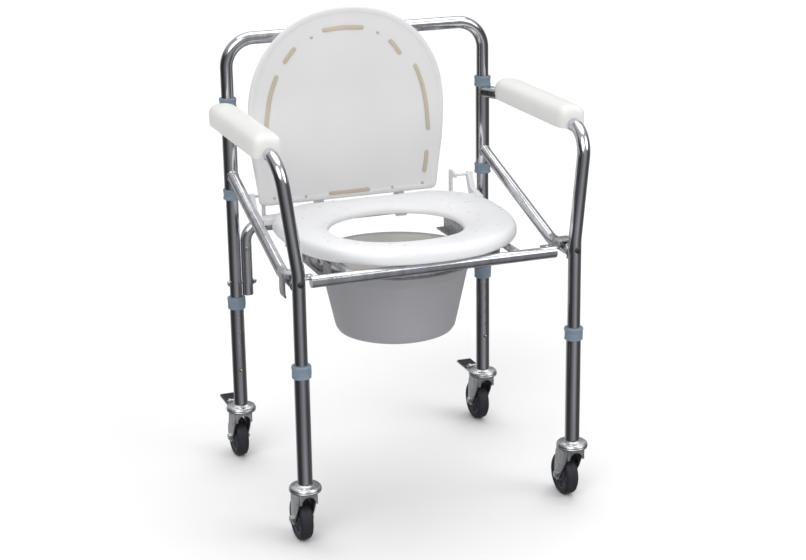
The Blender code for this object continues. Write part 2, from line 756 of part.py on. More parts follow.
def make_button(label, x, y, facing):
    """A domed pin in the lowest height hole."""
    spin = Matrix.Rotation(-facing * math.pi / 2, 4, "X")
    profile = [(0, 0.0160), (0.0018, 0.0155), (BUTTON_R, 0.0142), (BUTTON_R, 0.0104), (0, 0.0104)]
    item = turned("snap_button_" + label, profile, 12, Matrix.Translation((x, y, BUTTON_Z)) @ spin)
    finish(item, "brass", (x, y, BUTTON_Z))


def fork_outline(y):
    """The side of a fork cheek: wide at the dish, round about the axle."""
    axle_y = y + TRAIL
    points = [(y - 0.017, 0.1040), (y - 0.019, 0.0960), (y - 0.004, 0.0660)]
    for i in range(5):
        angle = math.radians(190 + i * 42)
        points.append((axle_y + 0.0105 * math.cos(angle), WHEEL_R + 0.0105 * math.sin(angle)))
    points += [(y + 0.036, 0.0720), (y + 0.027, 0.0960), (y + 0.022, 0.1040)]
    return points


def make_fork(label, x, y, braked):
    """A pressed fork: a domed swivel dish with two cheeks that hold the axle."""
    dish = [
        (0, DISH_TOP), (0.0150, DISH_TOP), (0.0240, DISH_TOP - 0.004), (DISH_R, DISH_TOP - 0.009),
        (DISH_R - 0.001, DISH_TOP - 0.013), (0, DISH_TOP - 0.013),
    ]
    item = turned("caster_fork_" + label, dish, 18, Matrix.Translation((x, y, 0)))
    for _, side in SIDES:
        item = union(item, plate("cheek", fork_outline(y), FORK_PLATE, facing_x(x + side * FORK_HALF)))
    if braked:
        tongue = box(
            "tongue", (x - 0.007, y + 0.018, DISH_TOP - 0.012), (x + 0.007, y + PEDAL_PIVOT_Y, DISH_TOP - 0.006)
        )
        pivot = cylinder("pedal_pin", 0.0035, -0.0140, 0.0140, 12, along_x(x, y + PEDAL_PIVOT_Y, PEDAL_PIVOT_Z))
        item = union(item, tongue, pivot)
    axle = cylinder("axle_hole", AXLE_R + GAP, -0.03, 0.03, 16, along_x(x, y + TRAIL, WHEEL_R))
    finish(cut(item, axle), "zinc", (x, y, DISH_TOP))


def make_axle(label, x, y):
    face = FORK_HALF + FORK_PLATE / 2 + GAP
    profile = [
        (0, face + 0.003), (0.0055, face + 0.003), (0.0065, face), (AXLE_R, face),
        (AXLE_R, -face), (0.0065, -face), (0.0055, -face - 0.003), (0, -face - 0.003),
    ]
    finish(turned("caster_axle_" + label, profile, 12, along_x(x, y + TRAIL, WHEEL_R)), "zinc")


def make_wheel(label, x, y):
    """A solid wheel with a recessed face and a tyre that is flat across its tread."""
    rim = WHEEL_R / math.cos(math.pi / WHEEL_SIDES)
    half = WHEEL_WIDTH / 2
    bore = AXLE_R + 2 * GAP
    profile = [
        (bore, half), (0.012, half), (0.014, half - 0.004), (0.025, half - 0.004), (0.027, half),
        (rim, half), (rim, -half), (0.027, -half), (0.025, 0.004 - half), (0.014, 0.004 - half),
        (0.012, -half), (bore, -half),
    ]
    turn = Matrix.Rotation(math.pi / WHEEL_SIDES, 4, "Z")
    place = along_x(x, y + TRAIL, WHEEL_R) @ turn
    item = turned("caster_wheel_" + label, profile, WHEEL_SIDES, place)
    finish(item, "tyre_rubber", (x, y + TRAIL, WHEEL_R))


def make_pedal(label, x, y):
    """A foot pedal over the wheel, hung on the fork's pin by two cheeks."""
    pivot_y, pivot_z = y + PEDAL_PIVOT_Y, PEDAL_PIVOT_Z
    item = box(
        "brake_pedal_" + label, (x - 0.0150, pivot_y - 0.005, PEDAL_LOW), (x + 0.0150, y + PEDAL_REACH, PEDAL_HIGH)
    )
    for _, side in SIDES:
        near, far = x + side * 0.0090, x + side * 0.0128
        cheek = box(
            "pedal_cheek", (min(near, far), pivot_y - 0.0050, PEDAL_LOW + 0.001),
            (max(near, far), pivot_y + 0.0060, pivot_z + 0.0055),
        )
        item = union(item, cheek)
    hole = cylinder("pedal_hole", 0.0035 + GAP, -0.03, 0.03, 12, along_x(x, pivot_y, pivot_z))
    finish(cut(item, hole), "black_plastic", (x, pivot_y, pivot_z))


def make_leg_set(label, x, y, facing, braked):
    make_lower_leg(label, x, y, facing)
    make_leg_collar(label, x, y)
    make_button(label, x, y, facing)
    make_fork(label, x, y, braked)
    make_axle(label, x, y)
    make_wheel(label, x, y)
    if braked:
        make_pedal(label, x, y)


def make_side(label, side):
    make_sleeve(label, side)
    make_post_collar(label, side, "upper", SLEEVE_HIGH, True)
    make_post_collar(label, side, "lower", SLEEVE_LOW - COLLAR_HEIGHT, False)
    make_arm_tube(label, side)
    make_arm_pad(label, side)
    make_brace(label, side)
    make_leg_plug(label, side)
    make_cross_bolt(label, side)
    make_hook(label, side)
    make_side_rail(label, side)
    make_pail_rail(label, side)
    make_lid_bracket(label, side)
    make_bumper(label, side)


clear_scene()
PARTS = new_collection("commode_chair")
CUTTERS = new_collection("cutters")
MATERIALS = {name: make_material(name) for name in FINISHES}
make_backrest_tube()
make_rear_cross_tube()
make_crossbar()
make_seat()
make_lid()
make_pail()
make_bail()
for SIDE_NAME, SIDE in SIDES:
    make_side(SIDE_NAME, SIDE)
    make_leg_set("front_" + SIDE_NAME, SIDE * LEG_X, FRONT_Y, 1, False)
    make_leg_set("rear_" + SIDE_NAME, SIDE * POST_X, REAR_Y, -1, True)
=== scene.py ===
"""Looks of the commode chair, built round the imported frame. Metres, +Z up, the chair faces -Y."""
import json
import math

import bmesh
import bpy
from mathutils import Matrix, Vector


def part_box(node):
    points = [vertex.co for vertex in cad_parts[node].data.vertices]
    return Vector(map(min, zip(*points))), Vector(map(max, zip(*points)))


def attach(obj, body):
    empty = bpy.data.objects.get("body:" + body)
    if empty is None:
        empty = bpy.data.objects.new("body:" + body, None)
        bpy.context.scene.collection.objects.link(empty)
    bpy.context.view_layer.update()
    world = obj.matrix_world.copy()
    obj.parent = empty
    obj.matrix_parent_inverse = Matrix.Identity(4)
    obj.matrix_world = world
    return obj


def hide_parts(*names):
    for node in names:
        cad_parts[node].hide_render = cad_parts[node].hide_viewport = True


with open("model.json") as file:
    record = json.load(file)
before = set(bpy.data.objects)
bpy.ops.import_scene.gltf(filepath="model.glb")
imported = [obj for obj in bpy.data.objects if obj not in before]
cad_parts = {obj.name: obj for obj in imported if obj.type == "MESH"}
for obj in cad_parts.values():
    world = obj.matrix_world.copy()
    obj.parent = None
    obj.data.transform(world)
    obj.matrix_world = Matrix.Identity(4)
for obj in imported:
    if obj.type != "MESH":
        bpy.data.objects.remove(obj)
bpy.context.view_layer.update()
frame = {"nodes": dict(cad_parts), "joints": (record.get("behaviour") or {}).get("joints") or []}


def middle(node):
    low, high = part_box(node)
    return (low + high) / 2


def radius_of(node):
    low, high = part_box(node)
    return (high.x - low.x) / 2


def joint_place(name):
    return Vector(next(joint["pos_m"] for joint in frame["joints"] if joint["name"] == name))


# Places read from the frame.
LEG_X, FRONT_Y = middle("lower_leg_front_right").x, middle("lower_leg_front_right").y
POST_X, REAR_Y = middle("lower_leg_rear_right").x, middle("lower_leg_rear_right").y
MID_Y = (FRONT_Y + REAR_Y) / 2
OUTER_TUBE_R = radius_of("lower_leg_rear_right")
LOWER_LEG_BOTTOM, LOWER_LEG_TOP = (corner.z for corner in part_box("lower_leg_rear_right"))
BAR_Y, BAR_Z = middle("front_crossbar").y, middle("front_crossbar").z
BAR_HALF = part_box("front_crossbar")[1].x
SLEEVE_LOW, SLEEVE_HIGH = (corner.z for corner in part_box("swivel_sleeve_right"))
SEAT_LOW, SEAT_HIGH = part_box("seat")
LID_LOW, LID_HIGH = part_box("lid")
PAIL_LOW, PAIL_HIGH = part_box("pail")
PAIL_Y = middle("pail").y
PIN_Y, PIN_Z = joint_place("lid_hinge").yz
BAIL_Z = joint_place("bail_hinge").z
WHEEL_R = joint_place("roll_front_right").z
TRAIL = joint_place("roll_front_right").y - FRONT_Y
DISH_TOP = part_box("caster_fork_front_right")[1].z

# Sizes that the frame doesn't state: tubes, holes, pins and the places of small parts.
TUBE_R = 0.0111
SLIM_TUBE_R = 0.0100
BRACE_R = (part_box("front_crossbar")[1].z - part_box("front_crossbar")[0].z) / 2
BORE_R = 0.0115
TUBE_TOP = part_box("backrest_tube")[1].z - TUBE_R
INNER_TUBE_END = 0.160
ARM_Z = 0.660
ARM_X = middle("arm_pad_right").x
PAD_LOW, PAD_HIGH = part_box("arm_pad_right")
STUB_Z = 0.4525
HOLE_PITCH = 0.0254
BUTTON_Z = 0.181
AXLE_R = 0.004
FORK_HALF = 0.0145
PEDAL_PIN_Z = 0.103
SEAT_LUG_X = 0.2105
SEAT_UNDERSIDE = 0.4643
SEAT_HALF_WIDTH = 0.206
HOLE_Y = MID_Y + 0.012
HOLE_HALF_WIDTH = 0.1175
HOLE_HALF_LENGTH = 0.110
LID_BRACKET_X = 0.078
LID_KNUCKLE_X = 0.095
SIDE_RAIL_X, SIDE_RAIL_Z, SIDE_RAIL_R = 0.150, 0.4565, 0.0065
SEAT_CLIP_X = 0.183
LEG_PLUG_Z = 0.459
CROSS_BOLT_Z = 0.346
CROSS_RIVET_Z = 0.410
POST_COLLAR_HEIGHT = 0.019
COLLAR_GAP = 0.0003
BAIL_R = 0.1445
BAIL_WIRE_R = 0.0025
SIDES = (("left", -1), ("right", 1))
LEGS = (
    ("front_left", -LEG_X, FRONT_Y, 1),
    ("front_right", LEG_X, FRONT_Y, 1),
    ("rear_left", -POST_X, REAR_Y, -1),
    ("rear_right", POST_X, REAR_Y, -1),
)


# ---- Materials ----

def ramp_node(tree, value, stops):
    """A colour ramp on a value, with (place, colour) stops."""
    node = tree.nodes.new("ShaderNodeValToRGB")
    while len(node.color_ramp.elements) < len(stops):
        node.color_ramp.elements.new(0.5)
    for element, (place, colour) in zip(node.color_ramp.elements, stops):
        element.position = place
        element.color = (*colour, 1)
    tree.links.new(value, node.inputs["Fac"])
    return node


class Finish:
    """Builds a procedural surface on one Principled shader, in the piece's own coordinates."""

    def __init__(self, name, colour, roughness, metallic=0.0):
        self.material = bpy.data.materials.new(name)
        self.material.use_nodes = True
        self.tree = self.material.node_tree
        self.shader = self.tree.nodes["Principled BSDF"]
        self.shader.inputs["Base Color"].default_value = (*colour, 1)
        self.shader.inputs["Roughness"].default_value = roughness
        self.shader.inputs["Metallic"].default_value = metallic
        self.place = self.tree.nodes.new("ShaderNodeTexCoord").outputs["Object"]
        self.normal = None

    def noise(self, scale, detail=4.0, stretch=(1, 1, 1)):
        mapping = self.tree.nodes.new("ShaderNodeMapping")
        mapping.inputs["Scale"].default_value = stretch
        self.tree.links.new(self.place, mapping.inputs["Vector"])
        node = self.tree.nodes.new("ShaderNodeTexNoise")
        node.inputs["Scale"].default_value = scale
        node.inputs["Detail"].default_value = detail
        self.tree.links.new(mapping.outputs["Vector"], node.inputs["Vector"])
        return node.outputs["Fac"]

    def colours(self, value, stops):
        node = ramp_node(self.tree, value, stops)
        self.tree.links.new(node.outputs["Color"], self.shader.inputs["Base Color"])

    def rough(self, value, low, high):
        node = self.tree.nodes.new("ShaderNodeMapRange")
        node.inputs["From Min"].default_value = 0.3
        node.inputs["From Max"].default_value = 0.7
        node.inputs["To Min"].default_value = low
        node.inputs["To Max"].default_value = high
        self.tree.links.new(value, node.inputs["Value"])
        self.tree.links.new(node.outputs["Result"], self.shader.inputs["Roughness"])

    def bump(self, value, strength, distance):
        node = self.tree.nodes.new("ShaderNodeBump")
        node.inputs["Strength"].default_value = strength
        node.inputs["Distance"].default_value = distance
        self.tree.links.new(value, node.inputs["Height"])
        if self.normal is not None:
            self.tree.links.new(self.normal, node.inputs["Normal"])
        self.normal = node.outputs["Normal"]
        self.tree.links.new(self.normal, self.shader.inputs["Normal"])


def shade(colour, factor):
    return tuple(min(1.0, part * factor) for part in colour)


def chrome():
    base = (0.66, 0.67, 0.70)
    finish = Finish("chrome", base, 0.1, 1.0)
    drawn = finish.noise(60, 3, (1, 1, 0.06))
    finish.colours(drawn, [(0.30, shade(base, 0.80)), (0.55, base), (0.75, shade(base, 1.14))])
    finish.rough(finish.noise(220, 6, (1, 1, 0.15)), 0.07, 0.20)
    finish.bump(finish.noise(34, 3, (1, 1, 0.25)), 0.10, 0.0006)
    return finish.material


def zinc():
    base = (0.60, 0.61, 0.62)
    finish = Finish("zinc", base, 0.3, 1.0)
    finish.colours(finish.noise(90, 5), [(0.30, shade(base, 0.72)), (0.52, base), (0.72, shade(base, 1.2))])
    finish.rough(finish.noise(320, 6), 0.22, 0.46)
    finish.bump(finish.noise(500, 4), 0.14, 0.0004)
    return finish.material


def plastic(name, base, low, high, grain, depth, spread):
    """Moulded plastic: faint flow marks in its colour, a fine grain, and uneven gloss."""
    finish = Finish(name, base, low, 0.0)
    flow = finish.noise(9, 3, (1, 1, 0.6))
    finish.colours(flow, [(0.32, shade(base, 1 - spread)), (0.50, base), (0.70, shade(base, 1 + spread))])
    finish.rough(finish.noise(55, 5), low, high)
    finish.bump(finish.noise(grain, 5), depth, 0.0003)
    finish.bump(finish.noise(14, 2), 0.05, 0.0015)
    return finish.material


def brass():
    base = (0.80, 0.58, 0.28)
    finish = Finish("brass", base, 0.25, 1.0)
    finish.colours(finish.noise(400, 4), [(0.35, shade(base, 0.8)), (0.65, shade(base, 1.1))])
    finish.rough(finish.noise(600, 4), 0.18, 0.36)
    return finish.material


# Colour, lowest and highest roughness, grain scale and depth, and how far the colour varies.
PLASTICS = {
    "white_shell": ((0.80, 0.805, 0.815), 0.26, 0.38, 420, 0.04, 0.015),
    "white_lid": ((0.745, 0.74, 0.745), 0.34, 0.46, 900, 0.12, 0.02),
    "white_pad": ((0.80, 0.80, 0.775), 0.34, 0.48, 1400, 0.20, 0.02),
    "grey_plastic": ((0.345, 0.345, 0.365), 0.38, 0.50, 900, 0.12, 0.03),
    # The pail's inside: a lighter, warmer copy of its grey plastic, which is painted light rather than a second
    # colour.
    "pail_inside_painted_light": ((0.60, 0.585, 0.565), 0.36, 0.48, 900, 0.10, 0.03),
    "collar_plastic": ((0.185, 0.245, 0.30), 0.38, 0.52, 1100, 0.2, 0.06),
    "beige_rubber": ((0.54, 0.475, 0.375), 0.55, 0.72, 1600, 0.3, 0.08),
    "black_plastic": ((0.022, 0.022, 0.026), 0.38, 0.55, 1300, 0.25, 0.15),
    "tyre": ((0.020, 0.020, 0.027), 0.50, 0.70, 1500, 0.35, 0.2),
    "hub": ((0.045, 0.050, 0.068), 0.35, 0.50, 1200, 0.2, 0.12),
}
SURFACES = {name: plastic(name, *values) for name, values in PLASTICS.items()}
SURFACES.update(chrome=chrome(), zinc=zinc(), brass=brass())


# ---- Shapes ----

def baked(item):
    """Replace an object by the mesh that its modifiers make, with its transform applied."""
    bpy.context.view_layer.update()
    graph = bpy.context.evaluated_depsgraph_get()
    mesh = bpy.data.meshes.new_from_object(item.evaluated_get(graph))
    mesh.transform(item.matrix_world)
    name = item.name
    bpy.data.objects.remove(item, do_unlink=True)
    work = bmesh.new()
    work.from_mesh(mesh)
    bmesh.ops.remove_doubles(work, verts=work.verts, dist=1e-6)
    work.to_mesh(mesh)
    work.free()
    return add_object(name, mesh)


def add_object(name, data):
    item = bpy.data.objects.new(name, data)
    bpy.context.scene.collection.objects.link(item)
    item.name = name
    return item


def cut(target, cutter):
    modifier = target.modifiers.new("cut", "BOOLEAN")
    modifier.solver = "EXACT"
    modifier.object = cutter
    result = baked(target)
    bpy.data.objects.remove(cutter, do_unlink=True)
    return result


def box(name, low, high, bevel=0.0008, segments=3):
    mesh = bpy.data.meshes.new(name)
    work = bmesh.new()
    bmesh.ops.create_cube(work, size=1.0)
    low = Vector(low)
    high = Vector(high)
    bmesh.ops.scale(work, vec=high - low, verts=work.verts)
    bmesh.ops.translate(work, vec=(low + high) / 2, verts=work.verts)
    bmesh.ops.bevel(
        work, geom=list(work.edges), offset=bevel, segments=segments, profile=0.5, affect="EDGES"
    )
    work.to_mesh(mesh)
    work.free()
    return add_object(name, mesh)


def turned(name, profile, steps, place=None):
    """Turn a profile of (radius, z) points, which runs down its outer side, about Z."""
    hollow = min(radius for radius, _ in profile) > 0
    edges = [(i, i + 1) for i in range(len(profile) - 1)]
    if hollow:
        edges.append((len(profile) - 1, 0))
    mesh = bpy.data.meshes.new(name)
    mesh.from_pydata([(radius, 0.0, z) for radius, z in profile], edges, [])
    item = add_object(name, mesh)
    screw = item.modifiers.new("turn", "SCREW")
    screw.steps = steps
    screw.render_steps = steps
    screw.use_merge_vertices = True
    screw.merge_threshold = 1e-5
    if place is not None:
        item.matrix_world = place
    return baked(item)


def upright(x, y):
    return Matrix.Translation((x, y, 0))


def along_x(x, y, z):
    return Matrix.Translation((x, y, z)) @ Matrix.Rotation(math.pi / 2, 4, "Y")


def toward_front(x, y, z):
    """A placement that turns +Z to the chair's front."""
    return Matrix.Translation((x, y, z)) @ Matrix.Rotation(math.pi / 2, 4, "X")


def bar_x(name, low, high, radius, sides, rounding, place):
    """A short solid round or hexagonal bar, which place lays along X."""
    profile = rounded_profile([(0, high), (radius, high), (radius, low), (0, low)], rounding, closed=False)
    return turned(name, profile, sides, place)


def about(y, z, points):
    return [(y + back, z + up) for back, up in points]


def rounded_profile(points, radius, closed=True):
    """Round a profile's inner corners with short arcs, each no longer than its edges allow."""
    result = []
    count = len(points)
    for i, point in enumerate(points):
        here = Vector(point)
        if not closed and i in (0, count - 1):
            result.append(tuple(here))
            continue
        before = Vector(points[i - 1])
        after = Vector(points[(i + 1) % count])
        reach = min(radius, (before - here).length * 0.45, (after - here).length * 0.45)
        start = here + (before - here).normalized() * reach
        end = here + (after - here).normalized() * reach
        for k in range(4):
            t = k / 3
            result.append(tuple(start.lerp(here, t).lerp(here.lerp(end, t), t)))
    return result


def rounded_path(corners, radii, turn=4.0):
    """Points along straight runs joined by arcs, one radius for each inner corner."""
    corners = [Vector(corner) for corner in corners]
    path = [corners[0]]
    for before, corner, after, radius in zip(corners, corners[1:], corners[2:], radii):
        into = (corner - before).normalized()
        out = (after - corner).normalized()
        angle = into.angle(out)
        start = corner - into * radius * math.tan(angle / 2)
        axis = into.cross(out).normalized()
        centre = start + axis.cross(into) * radius
        count = max(2, math.ceil(math.degrees(angle) / turn))
        for i in range(count + 1):
            spin = Matrix.Rotation(angle * i / count, 3, axis)
            path.append(centre + spin @ (start - centre))
    path.append(corners[-1])
    return path


def tube(name, path, radius, resolution=9):
    curve = bpy.data.curves.new(name, "CURVE")
    curve.dimensions = "3D"
    curve.bevel_depth = radius
    curve.bevel_resolution = resolution
    curve.use_fill_caps = True
    spline = curve.splines.new("POLY")
    spline.points.add(len(path) - 1)
    for point, place in zip(spline.points, path):
        point.co = (*place, 1.0)
    return baked(add_object(name, curve))


def plate(name, outline, thickness, place, bevel=0.0005):
    """A flat outline in XY with softened edges, extruded evenly about its plane, then placed."""
    curve = bpy.data.curves.new(name, "CURVE")
    curve.dimensions = "2D"
    curve.fill_mode = "BOTH"
    curve.extrude = thickness / 2 - bevel
    curve.bevel_depth = bevel
    curve.bevel_resolution = 2
    curve.offset = -bevel
    spline = curve.splines.new("POLY")
    spline.points.add(len(outline) - 1)
    for point, (x, y) in zip(spline.points, outline):
        point.co = (x, y, 0.0, 1.0)
    spline.use_cyclic_u = True
    item = add_object(name, curve)
    item.matrix_world = place
    return baked(item)


def facing_x(x):
    return Matrix(((0, 0, 1, x), (1, 0, 0, 0), (0, 1, 0, 0), (0, 0, 0, 1)))


def facing_y(y):
    return Matrix(((1, 0, 0, 0), (0, 0, -1, y), (0, 1, 0, 0), (0, 0, 0, 1)))


def band(points, width):
    """The outline of a strip of this width along a line of (x, y) points."""
    points = [Vector(point) for point in points]
    lefts, rights = [], []
    for i, point in enumerate(points):
        into = (point - points[i - 1]).normalized() if i else None
        out = (points[i + 1] - point).normalized() if i + 1 < len(points) else None
        into, out = into or out, out or into
        along = (into + out).normalized()
        side = Vector((-along.y, along.x)) * (width / 2 / along.dot(into))
        lefts.append(tuple(point + side))
        rights.append(tuple(point - side))
    return lefts + rights[::-1]


def round_ended(points, width):
    """As band, with half-round ends."""
    outline = band(points, width)
    count = len(points)
    ends = []
    for tip, inner in ((points[-1], points[-2]), (points[0], points[1])):
        tip = Vector(tip)
        out = (tip - Vector(inner)).normalized()
        side = Vector((-out.y, out.x))
        ends.append([
            tuple(tip + (side * math.cos(a) + out * math.sin(a)) * width / 2)
            for a in (math.pi * k / 6 for k in range(1, 6))
        ])
    return outline[:count] + ends[0] + outline[count:] + ends[1]


def curve_through(points, steps, closed=False):
    """Catmull-Rom points through the given ones."""
    points = [Vector(point) for point in points]
    count = len(points)
    result = []
    for i in range(count if closed else count - 1):
        if closed:
            a, b, c, d = (points[(i + k) % count] for k in (-1, 0, 1, 2))
        else:
            a, b, c, d = (points[min(max(i + k, 0), count - 1)] for k in (-1, 0, 1, 2))
        for k in range(steps):
            t = k / steps
            square = (2 * a - 5 * b + 4 * c - d) * t * t
            result.append(0.5 * (2 * b + (c - a) * t + square + (3 * b - a - 3 * c + d) * t ** 3))
    if not closed:
        result.append(points[-1])
    return result


def lofted(name, rings, cap):
    """Join rings of equal counts. Without caps, the last ring joins the first."""
    mesh = bpy.data.meshes.new(name)
    work = bmesh.new()
    rows = [[work.verts.new(point) for point in points] for points in rings]
    count = len(rows[0])
    pairs = list(zip(rows, rows[1:]))
    if cap:
        work.faces.new(rows[0])
        work.faces.new(rows[-1][::-1])
    else:
        pairs.append((rows[-1], rows[0]))
    for first, second in pairs:
        for i in range(count):
            j = (i + 1) % count
            work.faces.new((first[i], second[i], second[j], first[j]))
    bmesh.ops.recalc_face_normals(work, faces=work.faces)
    work.to_mesh(mesh)
    work.free()
    return add_object(name, mesh)


def joined(name, items):
    """One object from several, which stay separate shells in one mesh."""
    work = bmesh.new()
    for item in items:
        work.from_mesh(item.data)
    mesh = bpy.data.meshes.new(name)
    work.to_mesh(mesh)
    work.free()
    for item in items:
        bpy.data.objects.remove(item, do_unlink=True)
    return add_object(name, mesh)


def dress(item, body, surface, *replaced, sharp=38):
    """Shade a piece, give it its finish, and let it ride on its body."""
    item.data.shade_smooth()
    item.data.set_sharp_from_angle(angle=math.radians(sharp))
    item.data.materials.clear()
    item.data.materials.append(SURFACES[surface])
    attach(item, body)
    if replaced:
        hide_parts(*replaced)
    return item


def keep(node, surface):
    """A CAD node that is shown as it is gets its finish in its own slots."""
    item = frame["nodes"][node]
    for material_slot in item.material_slots:
        material_slot.material = SURFACES[surface]


# ---- Frame tubes ----

def arm_path(side):
    corners = [
        (side * POST_X, REAR_Y - 0.010, ARM_Z),
        (side * ARM_X, MID_Y + 0.135, ARM_Z),
        (side * (ARM_X - 0.001), MID_Y - 0.187, ARM_Z),
        (side * LEG_X, FRONT_Y, 0.475),
        (side * LEG_X, FRONT_Y, INNER_TUBE_END),
    ]
    return rounded_path(corners, (0.050, 0.050, 0.080))


def weld(name, place, direction, radius):
    """A rippled fillet of weld round the end of a tube."""
    direction = Vector(direction).normalized()
    turn = direction.to_track_quat("Z", "Y").to_matrix()
    count = 40
    ring = []
    for i in range(count + 1):
        angle = 2 * math.pi * i / count
        ripple = 1 + 0.035 * math.sin(angle * 13)
        across = Vector((math.cos(angle), math.sin(angle), 0)) * radius * ripple
        ring.append(Vector(place) + turn @ across)
    return dress(tube(name, ring, 0.0017, 3), "root", "zinc")


def dress_frame_tubes():
    posts = [
        (-POST_X, REAR_Y, INNER_TUBE_END), (-POST_X, REAR_Y, TUBE_TOP),
        (POST_X, REAR_Y, TUBE_TOP), (POST_X, REAR_Y, INNER_TUBE_END),
    ]
    item = tube("vis_backrest_tube", rounded_path(posts, (0.050, 0.050)), TUBE_R)
    dress(item, "root", "chrome", "backrest_tube")
    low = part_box("rear_cross_tube")[0].z
    leg_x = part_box("rear_cross_tube")[1].x - SLIM_TUBE_R
    cross = [(-leg_x, REAR_Y, low), (-leg_x, REAR_Y, BAR_Z), (leg_x, REAR_Y, BAR_Z), (leg_x, REAR_Y, low)]
    item = tube("vis_rear_cross_tube", rounded_path(cross, (0.030, 0.030)), SLIM_TUBE_R)
    dress(item, "root", "chrome", "rear_cross_tube")
    bar = [(-BAR_HALF, BAR_Y, BAR_Z), (BAR_HALF, BAR_Y, BAR_Z)]
    item = tube("vis_front_crossbar", bar, BRACE_R)
    dress(item, "seat_frame", "chrome", "front_crossbar")
    for label, side in SIDES:
        item = tube("vis_arm_and_leg_tube_" + label, arm_path(side), TUBE_R)
        dress(item, "root", "chrome", "arm_and_leg_tube_" + label)
        brace = [
            (side * POST_X, REAR_Y - 0.008, 0.549), (side * LEG_X, MID_Y - 0.105, STUB_Z),
            (side * LEG_X, FRONT_Y + 0.004, STUB_Z),
        ]
        item = tube("vis_diagonal_brace_" + label, rounded_path(brace, (0.040,)), BRACE_R)
        dress(item, "root", "chrome", "diagonal_brace_" + label)
        near = REAR_Y - OUTER_TUBE_R + 0.001
        arm_end = (side * (POST_X + 0.0045), near, ARM_Z)
        weld("vis_arm_weld_" + label, arm_end, (side * 0.44, -1, 0), TUBE_R)
        weld("vis_brace_weld_" + label, (side * POST_X, near, 0.5465), (0, -1, -0.32), BRACE_R)
        weld("vis_stub_weld_" + label, (side * LEG_X, FRONT_Y + TUBE_R, STUB_Z), (0, -1, 0), BRACE_R)
        plug = [
            (0, 0.0157), (0.0018, 0.0156), (0.0034, 0.0151), (0.0046, 0.0142), (0.005, 0.0132),
            (0.005, 0.0105), (0, 0.0105),
        ]
        item = turned("vis_leg_plug_" + label, plug, 32, toward_front(side * LEG_X, FRONT_Y, LEG_PLUG_Z))
        dress(item, "root", "black_plastic", "leg_plug_" + label)


def dress_sleeves():
    sleeve = [
        (OUTER_TUBE_R, SLEEVE_HIGH), (OUTER_TUBE_R, SLEEVE_LOW), (BORE_R, SLEEVE_LOW), (BORE_R, SLEEVE_HIGH),
    ]
    for label, side in SIDES:
        place = upright(side * POST_X, REAR_Y)
        item = turned("vis_swivel_sleeve_" + label, rounded_profile(sleeve, 0.0006), 48, place)
        dress(item, "root", "chrome", "swivel_sleeve_" + label)
        for level in ("upper", "lower"):
            dress_post_collar(f"post_collar_{level}_{label}", side, level == "upper")


def dress_post_collar(node, side, is_upper):
    """A moulded collar with a lip at each end, a seam groove, and the tongue at its back."""
    low = SLEEVE_HIGH + COLLAR_GAP if is_upper else SLEEVE_LOW - COLLAR_GAP - POST_COLLAR_HEIGHT
    high = low + POST_COLLAR_HEIGHT
    r = radius_of(node)
    profile = [
        (r - 0.0012, high), (r, high - 0.0012), (r, high - 0.004), (r - 0.0007, high - 0.0048),
        (r - 0.0007, low + 0.0048), (r, low + 0.004), (r, low + 0.0012), (r - 0.0012, low),
        (BORE_R - 0.0002, low), (BORE_R - 0.0002, high),
    ]
    place = upright(side * POST_X, REAR_Y)
    body = turned("collar", rounded_profile(profile, 0.0005), 48, place)
    tongue_low, tongue_high = (low + 0.004, high + 0.012) if is_upper else (low - 0.012, high - 0.004)
    near = REAR_Y + OUTER_TUBE_R
    near_x, far_x = side * POST_X - 0.004, side * POST_X + 0.004
    tongue = box("tongue", (near_x, near, tongue_low), (far_x, near + 0.0039, tongue_high), 0.0011)
    dress(joined("vis_" + node, [body, tongue]), "root", "collar_plastic", node)


def dress_cross_bolts():
    """A hex head outside the post, washers, and a hex nut with its thread end inside the cross tube."""
    for label, side in SIDES:
        node = "cross_tube_bolt_" + label
        head = POST_X + TUBE_R
        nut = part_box("rear_cross_tube")[1].x - 2 * SLIM_TUBE_R
        place = along_x(0, REAR_Y, CROSS_BOLT_Z)
        parts = []
        for start, length, radius, sides in (
            (head - 0.0002, 0.001, 0.0062, 36), (head + 0.0006, 0.003, 0.005, 6),
            (nut - 0.001, 0.0012, 0.006, 36), (nut - 0.0048, 0.004, 0.0054, 6),
            (nut - 0.0068, 0.003, 0.0029, 24), (nut + 0.019, head - nut - 0.0185, 0.0029, 24),
        ):
            low, high = sorted((side * start, side * (start + length)))
            parts.append(bar_x("bolt_part", low, high, radius, sides, 0.0004, place))
        dress(joined("vis_" + node, parts), "root", "zinc", node, sharp=25)
        dome = [(0, 0.002), (0.0042, 0.001), (0.0046, -0.0006), (0, -0.0006)]
        place = toward_front(side * (nut + SLIM_TUBE_R), REAR_Y - SLIM_TUBE_R, CROSS_RIVET_Z)
        rivet = turned("vis_cross_rivet_" + label, rounded_profile(dome, 0.0006, closed=False), 28, place)
        dress(rivet, "root", "zinc")


# ---- Arm pads ----

